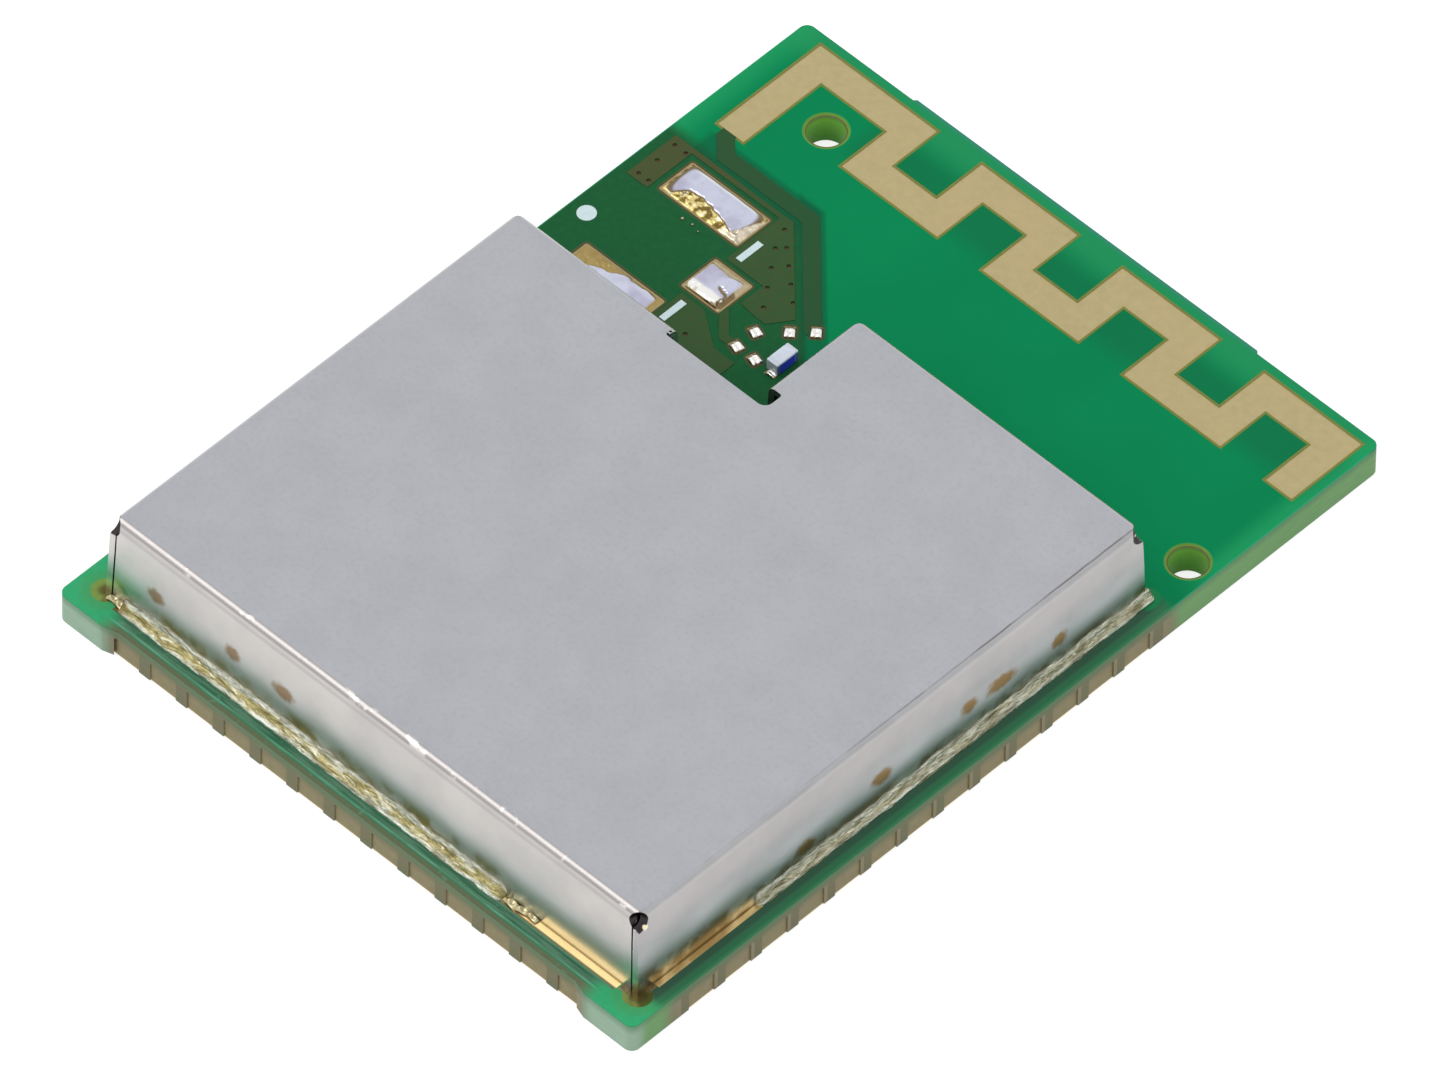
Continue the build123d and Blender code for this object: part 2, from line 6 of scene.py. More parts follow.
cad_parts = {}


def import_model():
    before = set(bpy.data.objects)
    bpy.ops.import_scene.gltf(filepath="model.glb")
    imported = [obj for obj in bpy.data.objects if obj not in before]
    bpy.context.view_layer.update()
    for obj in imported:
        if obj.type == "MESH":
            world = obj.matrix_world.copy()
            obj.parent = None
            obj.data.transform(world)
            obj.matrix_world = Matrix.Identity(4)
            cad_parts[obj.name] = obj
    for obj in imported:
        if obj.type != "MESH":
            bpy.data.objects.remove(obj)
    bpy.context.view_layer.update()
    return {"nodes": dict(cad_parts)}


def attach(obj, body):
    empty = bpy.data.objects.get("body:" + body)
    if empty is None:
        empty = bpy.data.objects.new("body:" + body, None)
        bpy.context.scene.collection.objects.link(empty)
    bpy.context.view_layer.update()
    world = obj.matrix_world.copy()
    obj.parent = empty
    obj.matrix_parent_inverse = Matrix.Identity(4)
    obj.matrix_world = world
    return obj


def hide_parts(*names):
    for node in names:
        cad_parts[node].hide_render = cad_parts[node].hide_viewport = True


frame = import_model()

# Sizes of the module, in millimetres. The mesh functions work in millimetres
# and hand metres to Blender.
MM = 0.001
LEFT, RIGHT, FRONT, BACK = -7.75, 7.75, -10.38, 10.32
FRONT_SETBACK = 0.11
SIDE_ROW_MIDDLE = -2.4
FEED_SLANT, FEED_LEVEL = 2.62, 6.62
BOARD, COATED = 0.73, 0.742
SHEET = 0.15
CAN_HEIGHT = 2.15
LEAN = math.radians(2.1)
BEND = 0.2
CAN_LEFT, CAN_RIGHT, CAN_FRONT, CAN_BACK = -7.12, 7.23, -9.695, 4.28
NOTCH_X, NOTCH_Y = -0.51, 1.59
LEANED = CAN_HEIGHT * math.tan(LEAN)
LID_CORNERS = [
    (CAN_LEFT + LEANED, CAN_FRONT + LEANED),
    (CAN_RIGHT - LEANED, CAN_FRONT + LEANED),
    (CAN_RIGHT - LEANED, CAN_BACK - LEANED),
    (NOTCH_X + LEANED, CAN_BACK - LEANED),
    (CAN_LEFT + LEANED, NOTCH_Y - LEANED),
]
RELIEF = 0.24
RELIEF_DROP = 0.2
SEAM = 0.04
LID_LAP = 0.03
WINDOW_LEFT, WINDOW_RIGHT, WINDOW_LOW, WINDOW_HIGH = -2.70, -0.07, 1.23, 1.70
HOLES = [(-5.5, 8.55), (7.16, 5.54)]
SOCKET_LANDS = [(-5.71, 5.645), (-5.71, 2.695)]
SOCKET_LAND_SIZE = (2.17, 0.98)
SIGNAL_LAND = (-4.21, 4.17)
SIGNAL_LAND_SIZE = (1.05, 1.0)
MATCHING_PART = (-1.9, 3.62)
MATCHING_LANDS = [
    (-2.0, 4.67, -50), (-2.37, 4.31, -50), (-2.85, 3.84, -20), (-2.85, 3.32, -15), (-2.37, 3.32, -15),
]


# Shapes

def waves(p, q, size, seed, count=28):
    """Smooth random relief over two coordinates: a sum of cosines of one typical wavelength,
    sum of cos(k . (p, q) + phase) with seeded directions, scaled to a spread of about one."""
    rng = np.random.default_rng(seed)
    total = np.zeros(np.broadcast(p, q).shape)
    for turn, stretch, phase in rng.uniform(0, 1, (count, 3)):
        k = 2 * math.pi / size * (0.6 + 0.9 * stretch)
        angle = 2 * math.pi * turn
        total += np.cos(k * (math.cos(angle) * p + math.sin(angle) * q) + 2 * math.pi * phase)
    return total / math.sqrt(count / 2)


def creases(p, q, size, seed):
    """Sharp ridges over two coordinates: one minus the absolute value of smooth relief."""
    return 1 - np.abs(waves(p, q, size, seed))


def smooth_step(low, high, value):
    """Rises from 0 at low to 1 at high along 3t^2 - 2t^3."""
    t = np.clip((value - low) / (high - low), 0, 1)
    return t * t * (3 - 2 * t)


def sheet_faces(rows, columns, close_rows=False, close_columns=False):
    """Quads between the points of a grid, wrapped round where a direction is closed."""
    i = np.arange(rows if close_rows else rows - 1)
    j = np.arange(columns if close_columns else columns - 1)
    i, j = [axis.ravel() for axis in np.meshgrid(i, j, indexing="ij")]
    next_i = (i + 1) % rows
    next_j = (j + 1) % columns
    corners = (i * columns + j, i * columns + next_j, next_i * columns + next_j, next_i * columns + j)
    return np.stack(corners, 1)


def volume(points, faces):
    """Signed volume inside the faces, by fans from each face's first corner."""
    total = 0
    for group in faces:
        first = points[group[:, 0]]
        for k in range(1, group.shape[1] - 1):
            total += np.sum(first * np.cross(points[group[:, k]], points[group[:, k + 1]]))
    return total / 6


def outwards(shape):
    """A closed shape, its points and its groups of like faces, with every face turned outwards."""
    points, faces = shape
    points = np.asarray(points, float).reshape(-1, 3)
    if volume(points, faces) < 0:
        faces = [group[:, ::-1] for group in faces]
    return points, faces


def joined(shapes):
    """Several closed shapes as one."""
    points, faces, start = [], [], 0
    for shape_points, shape_faces in map(outwards, shapes):
        points.append(shape_points)
        faces += [group + start for group in shape_faces]
        start += len(shape_points)
    return np.concatenate(points), faces


def piece(name, shape, finish, stands_for=(), sharp=40, spots=None):
    """Closed shapes in millimetres as a piece of the module. Edges sharper than an angle in
    degrees stay sharp. spots gives each point two coordinates for the finish to read."""
    points, faces = outwards(shape)
    corners = np.concatenate([group.ravel() for group in faces])
    sizes = np.concatenate([np.full(len(group), group.shape[1]) for group in faces])
    mesh = bpy.data.meshes.new(name)
    mesh.vertices.add(len(points))
    mesh.vertices.foreach_set("co", (points * MM).ravel())
    mesh.loops.add(len(corners))
    mesh.loops.foreach_set("vertex_index", corners)
    mesh.polygons.add(len(sizes))
    mesh.polygons.foreach_set("loop_start", np.cumsum(sizes) - sizes)
    if spots is not None:
        layer = mesh.uv_layers.new(name="spots")
        layer.data.foreach_set("uv", np.asarray(spots, float)[corners].ravel())
    mesh.materials.append(finish.material)
    mesh.update(calc_edges=True)
    mesh.validate()
    mesh.polygons.foreach_set("use_smooth", np.ones(len(mesh.polygons), bool))
    mesh.set_sharp_from_angle(angle=math.radians(sharp))
    thing = bpy.data.objects.new(name, mesh)
    bpy.context.scene.collection.objects.link(thing)
    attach(thing, "root")
    if stands_for:
        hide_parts(*stands_for)
    return thing


def swept(loops, closed=False):
    """Closed loops of points joined in a row. The row is closed on itself, or its first and
    last loops are filled in."""
    loops = np.asarray(loops, float)
    rows, columns = loops.shape[:2]
    faces = [sheet_faces(rows, columns, closed, True)]
    if not closed:
        first = np.arange(columns)
        faces.append(np.stack([first[::-1], (rows - 1) * columns + first]))
    return loops.reshape(-1, 3), faces


def shifted(outline, out):
    """A closed outline moved outwards by a distance, with mitred corners."""
    outline = np.asarray(outline, float)
    runs = np.roll(outline, -1, 0) - outline
    runs /= np.linalg.norm(runs, axis=1)[:, None]
    sides = np.stack([runs[:, 1], -runs[:, 0]], 1)
    before = np.roll(sides, 1, 0)
    turn = (sides + before) / (1 + np.sum(sides * before, 1))[:, None]
    x, y = outline.T
    way = 1 if np.sum(x * np.roll(y, -1) - np.roll(x, -1) * y) > 0 else -1
    return outline + turn * out * way


def moulding(outline, section, base):
    """A section of points (outwards, up) carried round a closed outline."""
    loops = [
        np.column_stack([shifted(outline, out), np.full(len(outline), base + up)]) for out, up in section
    ]
    return swept(np.stack(loops, 1), closed=True)


def turned(x, y, section, steps=96):
    """A section of points (radius, level) carried round an upright axis."""
    angles = np.linspace(0, 2 * math.pi, steps, endpoint=False)[:, None]
    radius, level = np.array(section, float).T
    loops = np.stack([x + radius * np.cos(angles), y + radius * np.sin(angles), level + 0 * angles], 2)
    return swept(loops, closed=True)


def arc(x, y, radius, first, last, count=10):
    """Points on a circle between two angles in degrees."""
    angles = np.radians(np.linspace(first, last, count))
    return [(x + radius * math.cos(a), y + radius * math.sin(a)) for a in angles]


def rounded(length, width, radius, count=7):
    """Outline of a rectangle with rounded corners about the origin."""
    x, y = length / 2 - radius, width / 2 - radius
    outline = arc(x, y, radius, 0, 90, count) + arc(-x, y, radius, 90, 180, count)
    return np.array(outline + arc(-x, -y, radius, 180, 270, count) + arc(x, -y, radius, 270, 360, count))


def placed(outline, x, y, turn):
    """An outline turned by degrees and moved to a place."""
    c, s = math.cos(math.radians(turn)), math.sin(math.radians(turn))
    return outline @ np.array([[c, s], [-s, c]]) + (x, y)


def pillow(outline, low, high, edge, count=6):
    """A flat body with rounded upper and lower rims: the outline drawn in by edge (1 - sin t)
    at heights that follow edge (1 - cos t)."""
    t = np.linspace(0, math.pi / 2, count)
    loops = []
    for out, level in zip(edge * (1 - np.sin(t)), low + edge * (1 - np.cos(t))):
        loops.append((out, level))
    for out, level in zip(edge * (1 - np.cos(t)), high - edge * (1 - np.sin(t))):
        loops.append((out, level))
    return swept([
        np.column_stack([shifted(outline, -out), np.full(len(outline), level)]) for out, level in loops
    ])


# The folded shield

def wall_profile():
    """Outer and inner line of a folded wall: a little of the lid's flat, the bend and the wall
    down to the foot, as distance in from the foot line and height over the board."""
    centre = math.tan(LEAN) * (CAN_HEIGHT - BEND) + BEND / math.cos(LEAN)
    turn = np.radians(np.linspace(90, 180 - math.degrees(LEAN), 17))
    down = np.concatenate([np.linspace(1, 0.84, 15)[1:], np.linspace(0.84, 0, 14)[1:]])
    lines = []
    for radius in (BEND, BEND - SHEET):
        bend = np.stack([centre + radius * np.cos(turn), CAN_HEIGHT - BEND + radius * np.sin(turn)], 1)
        flat = bend[0] + (LID_LAP, 0)
        foot = np.array([(BEND - radius) / math.cos(LEAN), 0.0])
        wall = foot + (bend[-1] - foot) * down[:, None]
        lines.append(np.concatenate([[flat], bend, wall]))
    return lines


def folded_wall(start, end, ends, seed):
    """One wall with its bend: the profile carried along the foot line from start to end.
    ends says for each end how it stops: 'lap' stands flush with the next wall's outside,
    'butt' stops short of it by the sheet and a seam, and a number stops there square. Bends
    meet on the mitre. A ball's worth of sheet, x = sqrt(r^2 - across^2 - up^2), is gone at
    each folded corner. A slow ripple keeps the sheet from being dead flat."""
    profile = np.concatenate([wall_profile()[0], wall_profile()[1][::-1]])
    depth, height = profile.T
    start, end = np.array(start, float), np.array(end, float)
    length = np.linalg.norm(end - start)
    along = (end - start) / length
    inwards = np.array([-along[1], along[0]])
    leaned = np.minimum(height * math.tan(LEAN), depth)
    corner = math.tan(LEAN) * CAN_HEIGHT
    up = height - (CAN_HEIGHT - RELIEF_DROP)
    bite = RELIEF ** 2 - (depth - corner) ** 2 - up ** 2
    bitten = np.where(bite > 0, corner + np.sqrt(bite.clip(0)), -1)
    bent = height > CAN_HEIGHT - BEND + 0.001
    stops = []
    for kind in ends:
        if kind == "lap":
            stop = np.where(bent, depth, leaned)
        elif kind == "butt":
            stop = np.where(bent, depth, leaned + SHEET + SEAM)
        else:
            stop = np.full(len(profile), float(kind))
        if kind in ("lap", "butt"):
            stop = np.maximum(stop, bitten)
        stops.append(stop)
    t = np.linspace(0, 1, max(16, int(length * 10)))[:, None]
    place = stops[0] + (length - stops[1] - stops[0]) * t
    ripple = 0.003 * waves(place, height + 0 * place, 1.7, seed)
    ripple *= smooth_step(0, 0.25, CAN_HEIGHT - height) * smooth_step(0, 0.2, height)
    plan = start + along * place[..., None] + inwards * (depth + ripple)[..., None]
    levels = np.broadcast_to(BOARD + height, depth.shape)[None, :] + 0 * place
    points = np.concatenate([plan, levels[..., None]], 2)
    rows, columns = points.shape[:2]
    k = np.arange(columns // 2 - 1)
    caps = []
    for base, order in ((0, 1), ((rows - 1) * columns, -1)):
        quads = base + np.stack([k, columns - 1 - k, columns - 2 - k, k + 1], 1)
        caps.append(quads[:, ::order])
    faces = [sheet_faces(rows, columns, close_columns=True), np.concatenate(caps)]
    return points.reshape(-1, 3), faces


def lid_plate():
    """Flat of the lid between the bends, with the window cut into it."""
    inset = math.tan(LEAN) * (CAN_HEIGHT - BEND) + BEND / math.cos(LEAN) + LID_LAP - 0.012
    corner, soft, nick = 0.2, 0.06, 0.08
    outline = [
        (CAN_LEFT + inset, CAN_FRONT + inset),
        (CAN_RIGHT - inset, CAN_FRONT + inset),
        (CAN_RIGHT - inset, CAN_BACK - inset),
        (NOTCH_X + inset, CAN_BACK - inset),
        (NOTCH_X + inset, WINDOW_HIGH),
    ]
    outline += arc(WINDOW_RIGHT - soft, WINDOW_HIGH - soft, soft, 90, 0, 5)
    outline += arc(WINDOW_RIGHT - corner, WINDOW_LOW + corner, corner, 0, -90)
    outline += arc(WINDOW_LEFT, WINDOW_LOW + nick, nick, -90, -250, 9)
    outline += [(WINDOW_LEFT, NOTCH_Y - inset), (CAN_LEFT + inset, NOTCH_Y - inset)]
    outline = np.array(outline)
    top = BOARD + CAN_HEIGHT - 0.0004
    return swept([np.column_stack([outline, np.full(len(outline), z)]) for z in (top, top - SHEET)])


def shield():
    """The lid's flat and its six folded walls."""
    walls = [
        ((CAN_LEFT, CAN_FRONT), (CAN_RIGHT, CAN_FRONT), ("butt", "butt")),
        ((CAN_RIGHT, CAN_FRONT), (CAN_RIGHT, CAN_BACK), ("lap", "lap")),
        ((CAN_RIGHT, CAN_BACK), (NOTCH_X, CAN_BACK), ("butt", "butt")),
        ((NOTCH_X, CAN_BACK), (NOTCH_X, WINDOW_HIGH), ("lap", 0)),
        ((WINDOW_LEFT, NOTCH_Y), (CAN_LEFT, NOTCH_Y), (0, "butt")),
        ((CAN_LEFT, NOTCH_Y), (CAN_LEFT, CAN_FRONT), ("lap", "lap")),
    ]
    return joined([lid_plate()] + [
        folded_wall(start, end, ends, 40 + k) for k, (start, end, ends) in enumerate(walls)
    ])


# Solder

def bead(start, end, width, rise, seed):
    """Solder fillet along a wall's foot: a curve from a height up the leaning wall to a width
    out on the board. Height and width vary slowly along it, long creases crumple its face,
    a thin lip runs along its outer edge, and it shrinks to nothing at both ends.
    Gives the shape, and each point's place along it and across it."""
    start, end = np.array(start, float), np.array(end, float)
    length = np.linalg.norm(end - start)
    along = (end - start) / length
    out = np.array([along[1], -along[0]])
    u = np.linspace(0, length, int(length * 75))[:, None]
    v = np.linspace(0, 1, 26)[None, :]
    near_end = (np.minimum(u, length - u) / 0.14).clip(0, 1)
    fade = np.sqrt((1 - (1 - near_end) ** 2).clip(0.0004, 1))
    top = rise * fade * (1 + 0.10 * waves(u, 0, 1.5, seed) + 0.05 * waves(u, 0, 0.45, seed + 1))
    reach = width * fade * (1 + 0.03 * waves(u, 0, 1.6, seed + 2) + 0.025 * waves(u, 0, 0.4, seed + 3))
    sag = 0.42
    depth = reach * (v ** 2 + 2 * v * (1 - v) * sag)
    height = top * ((1 - v) ** 2 + 2 * v * (1 - v) * sag)
    w = v * math.hypot(width, rise)
    crumple = 0.6 * waves(u / 3.5, w, 0.2, seed + 4) + 0.5 * creases(u / 2.5, w, 0.13, seed + 5) - 0.3
    crumple = 0.012 * crumple * np.sin(math.pi * v) ** 0.5 * fade
    lip = 0.014 * np.exp(-((v - 0.93) / 0.05) ** 2) * fade
    depth = depth + 0.7 * crumple + lip
    height = height + 0.7 * crumple + lip
    depth = depth - math.tan(LEAN) * height
    back = np.array([[-0.02, -0.02]])
    depth = np.concatenate([depth, back - math.tan(LEAN) * top * [0, 1]], 1)
    height = np.concatenate([height, 0 * u, top], 1).clip(0)
    plan = start + along * u[..., None] + out * depth[..., None]
    points = np.concatenate([plan, BOARD + height[..., None]], 2)
    across = np.concatenate([v, [[1, 0]]], 1)
    spots = np.stack([u + 0 * across, across + 0 * u], 2).reshape(-1, 2)
    return swept(points), spots


def land_solder(x, y, length, width, turn, relief, power=8, steps=(110, 64), base=BOARD):
    """Solder over a land: relief, in millimetres across the land, times
    sqrt((1 - |p|^n)(1 - |q|^n)), with p and q from -1 to 1 over it and n the power, closed
    by a flat underside."""
    p = np.linspace(-1, 1, steps[0])[:, None]
    q = np.linspace(-1, 1, steps[1])[None, :]
    cover = np.sqrt(((1 - np.abs(p) ** power) * (1 - np.abs(q) ** power)).clip(0, 1))
    across, along = p * length / 2 + 0 * q, q * width / 2 + 0 * p
    c, s = math.cos(math.radians(turn)), math.sin(math.radians(turn))
    plan = [x + across * c - along * s, y + across * s + along * c]
    upper = np.stack(plan + [base + relief(across, along) * cover], 2)
    lower = np.stack(plan + [np.full(across.shape, base - 0.004)], 2)
    rows, columns = across.shape
    count = rows * columns
    grid = sheet_faces(rows, columns)
    index = np.arange(count).reshape(rows, columns)
    rim = np.concatenate([index[:-1, 0], index[-1, :-1], index[:0:-1, -1], index[0, :0:-1]])
    after = np.roll(rim, -1)
    faces = [grid, grid[:, ::-1] + count, np.stack([rim, rim + count, after + count, after], 1)]
    return np.concatenate([upper.reshape(-1, 3), lower.reshape(-1, 3)]), faces


def upper_tin(x, y):
    """Smooth mound behind an arc, with a lower crumpled strip in front of it and a facet at
    its right end."""
    back = np.where(x < -0.3, 5.6 * (x + 0.3) ** 4, 0.23 * (x + 0.3) ** 2)
    edge = smooth_step(-0.04, 0.05, y + 0.10 + back + 0.012 * waves(x, y, 0.3, 71))
    edge *= smooth_step(0.05, -0.03, x - 0.87 - 0.45 * y)
    edge = np.maximum(edge, smooth_step(-0.7, -0.9, x) * smooth_step(-0.3, -0.1, y))
    rough = 0.012 * creases(x / 1.2, y, 0.2, 72) + 0.003 * waves(x, y, 0.09, 73)
    facet = 0.02 * smooth_step(0.82, 1.0, x - 0.45 * y)
    return 0.026 + 0.052 * edge + (rough + facet) * (1 - edge) + 0.003 * waves(x, y, 0.8, 74)


def lower_tin(x, y):
    """Bare, dull left and back rim, and a mound in front of them."""
    edge = smooth_step(-0.03, 0.05, np.minimum(0.44 * x + 0.35, 0.38) - y + 0.02 * waves(x, y, 0.35, 81))
    edge *= smooth_step(1.0, 0.93, x)
    rough = 0.005 * waves(x, y, 0.12, 82)
    return 0.018 + 0.06 * edge + rough * (1 - edge) + 0.003 * waves(x, y, 0.7, 83)


def middle_tin(x, y):
    """Mound with a bare rim behind and to the right, and two valleys that meet in its right
    half."""
    bent = 0.02 * waves(x, y, 0.3, 91)
    across = np.exp(-((y + 0.10 + 0.4 * (x - 0.24) + bent) / 0.06) ** 2) * smooth_step(0.0, 0.12, x)
    along = np.exp(-((x - 0.27 + 0.3 * y + bent) / 0.05) ** 2) * smooth_step(-0.06, -0.16, y)
    valley = np.maximum(across * smooth_step(0.42, 0.34, x), along * smooth_step(-0.42, -0.36, y))
    mound = smooth_step(0.38, 0.28, y + 0.02 * waves(x, 0, 0.4, 93)) * smooth_step(0.44, 0.34, x)
    relief = 0.05 - 0.036 * valley + 0.012 * creases(x, y, 0.25, 92) * smooth_step(0.0, -0.25, y)
    return 0.024 + mound * relief + 0.002 * waves(x, y, 0.1, 94)


def small_bump(x, y):
    """Two rounded lobes at one end with a dent between them, and a low slope at the other."""
    dent = np.exp(-((y - 0.01 + 0.2 * x) / 0.03) ** 2) * smooth_step(-0.05, 0.05, x)
    return 0.022 + 0.048 * smooth_step(-0.13, -0.02, x) - 0.032 * dent + 0.004 * waves(x, y, 0.13, 95)


def drop(x, y):
    """Low even drop."""
    return 0.022 + 0 * x


def lumps(x, y):
    """Small rounded lumps."""
    return 0.085 + 0.014 * waves(x, y, 0.2, 33)


def flux_film(x, y):
    """Thin uneven film."""
    return 0.014 + 0.004 * waves(x, y, 0.2, 31)


def antenna_outline():
    """Outline of the meander: its middle line moved to both sides, with square ends."""
    top, low, first, half_width = 9.72, 8.45, -6.79, 0.36
    points = [(first, 7.18), (first, top)]
    for index in range(7):
        x = -4.305 + 1.905 * index
        points += [(x, top if index % 2 == 0 else low), (x, low if index % 2 == 0 else top)]
    points[-1] = (points[-1][0], points[-1][1] - half_width)
    points = np.array(points)
    runs = np.diff(points, axis=0)
    runs /= np.linalg.norm(runs, axis=1)[:, None]
    sides = np.stack([-runs[:, 1], runs[:, 0]], 1)
    turns = (sides[:-1] + sides[1:]) / (1 + np.sum(sides[:-1] * sides[1:], 1))[:, None]
    shifts = np.concatenate([sides[:1], turns, sides[-1:]]) * half_width
    return np.concatenate([points + shifts, (points - shifts)[::-1]])


def mask_lips():
    """Soft raised edge of the mask round the antenna and the lands."""
    section = [
        (-0.012, 0), (-0.006, 0.006), (0.012, 0.009), (0.034, 0.005), (0.046, -0.003), (0.01, -0.004),
    ]
    outlines = [antenna_outline()]
    outlines += [placed(rounded(*SOCKET_LAND_SIZE, 0.06), *middle, 0) for middle in SOCKET_LANDS]
    outlines.append(placed(rounded(*SIGNAL_LAND_SIZE, 0.06), *SIGNAL_LAND, 0))
    outlines += [placed(rounded(0.32, 0.25, 0.06), x, y, turn) for x, y, turn in MATCHING_LANDS]
    return joined([moulding(outline, section, BOARD) for outline in outlines])


def hole_collars():
    """Rounded rim and wall of the tooling holes."""
    section = [
        (0.484, 0.728), (0.478, 0.7315), (0.466, 0.728), (0.45, 0.716), (0.43, 0.709), (0.412, 0.703),
        (0.402, 0.694), (0.396, 0.678), (0.3945, 0.62), (0.3945, 0.36), (0.3945, 0.08), (0.396, 0.03),
        (0.40, 0.008), (0.404, 0.001), (0.41, 0.001), (0.41, 0.36), (0.41, 0.69), (0.484, 0.705),
    ]
    return joined([turned(x, y, section) for x, y in HOLES])


# Shader maths

def colour(red, green, blue):
    """A colour given as it looks on a screen, 0 to 255, as linear light."""
    parts = [c / 255 for c in (red, green, blue)]
    return tuple(c / 12.92 if c <= 0.04045 else ((c + 0.055) / 1.055) ** 2.4 for c in parts) + (1.0,)


class Number:
    """A node's output that can be used in plain arithmetic."""

    def __init__(self, finish, socket):
        self.finish = finish
        self.socket = socket

    def maths(self, operation, *others):
        inputs = dict(enumerate((self,) + others))
        return self.finish.node("ShaderNodeMath", {"operation": operation}, inputs)

    def __add__(self, other):
        return self.maths("ADD", other)

    def __sub__(self, other):
        return self.maths("SUBTRACT", other)

    def __mul__(self, other):
        return self.maths("MULTIPLY", other)

    def __truediv__(self, other):
        return self.maths("DIVIDE", other)

    def __rsub__(self, other):
        return self.maths("MULTIPLY_ADD", -1.0, other)

    __radd__ = __add__
    __rmul__ = __mul__

    def least(self, other):
        return self.maths("MINIMUM", other)

    def most(self, other):
        return self.maths("MAXIMUM", other)

    def size(self):
        return self.maths("ABSOLUTE")

    def squared(self):
        return self.maths("POWER", 2.0)

    def root(self):
        return self.maths("SQRT")

    def rise(self, low, high):
        """0 at low, 1 at high, smooth between."""
        settings = {"interpolation_type": "SMOOTHSTEP"}
        return self.finish.node("ShaderNodeMapRange", settings, {0: self, 1: low, 2: high})

    def fall(self, low, high):
        """1 at low, 0 at high, smooth between."""
        return 1 - self.rise(low, high)

    def about(self, middle, full, gone):
        """1 as near to a middle as full, 0 as far from it as gone."""
        return (self - middle).size().fall(full, gone)


def most_of(numbers):
    """The largest of several numbers."""
    largest = numbers[0]
    for number in numbers[1:]:
        largest = largest.most(number)
    return largest


class Finish:
    """A material, with the place on the object in millimetres as x, y and z, and its base, the
    colour painted so far. Colours are given as they look on a screen, 0 to 255."""

    def __init__(self, name, **sockets):
        self.material = bpy.data.materials.new(name)
        self.material.use_nodes = True
        self.tree = self.material.node_tree
        self.shader = self.tree.nodes["Principled BSDF"]
        here = self.node("ShaderNodeTexCoord", output="Object")
        scaled = {"Vector": here, "Scale": 1 / MM}
        self.place = self.node("ShaderNodeVectorMath", {"operation": "SCALE"}, scaled)
        self.x, self.y, self.z = self.parts(self.place)
        self.base = None
        self.set(**sockets)

    def node(self, kind, settings=None, inputs=None, output=0):
        """One node: its settings first, then the values or links of its sockets."""
        node = self.tree.nodes.new(kind)
        for name, value in (settings or {}).items():
            setattr(node, name, value)
        for name, value in (inputs or {}).items():
            self.join(node.inputs[name], value)
        return Number(self, node.outputs[output])

    def join(self, socket, value):
        """Link a number to a socket, or set the socket to a plain value."""
        if isinstance(value, Number):
            self.tree.links.new(value.socket, socket)
        else:
            socket.default_value = value

    def set(self, **sockets):
        """Values or links of the shader's own sockets."""
        for name, value in sockets.items():
            self.join(self.shader.inputs[name.replace("_", " ")], value)

    def parts(self, vector):
        """A vector's three parts."""
        first = self.node("ShaderNodeSeparateXYZ", inputs={0: vector})
        return [Number(self, output) for output in first.socket.node.outputs]

    def mix(self, factor, first, second):
        """The first colour where the factor is 0, the second where it is 1."""
        first, second = (c if isinstance(c, Number) else colour(*c) for c in (first, second))
        inputs = {"Factor": factor, 6: first, 7: second}
        return self.node("ShaderNodeMix", {"data_type": "RGBA"}, inputs, output=2)

    def tint(self, factor, shade):
        """Paint a colour over the base where the factor is 1."""
        self.base = self.mix(factor, self.base, shade)

    def noise(self, per_mm, detail=3.0, roughness=0.5, squeeze=(1, 1, 1), distortion=0.0, where=None):
        """Cloudy noise, 0 to 1, with so many blotches to a millimetre, squeezed by a factor
        along each axis. It lies over the place, or over another vector."""
        over = {0: where or self.place, 1: squeeze}
        inputs = {"Vector": self.node("ShaderNodeVectorMath", {"operation": "MULTIPLY"}, over),
                  "Scale": per_mm, "Detail": detail, "Roughness": roughness, "Distortion": distortion}
        return self.node("ShaderNodeTexNoise", inputs=inputs)

    def near(self, x, y, reach=1.0, z=None, squeeze=(1.0, 1.0, 1.0)):
        """Distance to a point, in millimetres, as a share of reach."""
        total = ((self.x - x) * squeeze[0]).squared() + ((self.y - y) * squeeze[1]).squared()
        if z is not None:
            total = total + ((self.z - z) * squeeze[2]).squared()
        return total.root() / reach

    def in_square(self, x, y, side, soft=0.03):
        """1 inside a square in plan, 0 outside, with a soft edge."""
        beyond = (self.x - x).size().most((self.y - y).size()) - side / 2
        return beyond.fall(-soft, soft)

    def done(self, height, depth, strength, **sockets):
        """Hand over the base, and a small relief of so many millimetres for a height of 1."""
        inputs = {"Strength": strength, "Distance": depth * MM, "Height": height}
        self.set(Base_Color=self.base, Normal=self.node("ShaderNodeBump", inputs=inputs), **sockets)
        return self


def paint(node, finish):
    """Give a CAD node a finish."""
    thing = frame["nodes"][node]
    thing.data.materials.clear()
    thing.data.materials.append(finish.material)


# Finishes

def inside_edge(finish):
    """Distance in from the board's nearest edge, with the front edge set back between corners."""
    front = finish.y - FRONT - FRONT_SETBACK * finish.x.size().fall(6.4, 6.7)
    return (RIGHT - finish.x).least(finish.x - LEFT).least(BACK - finish.y).least(front)


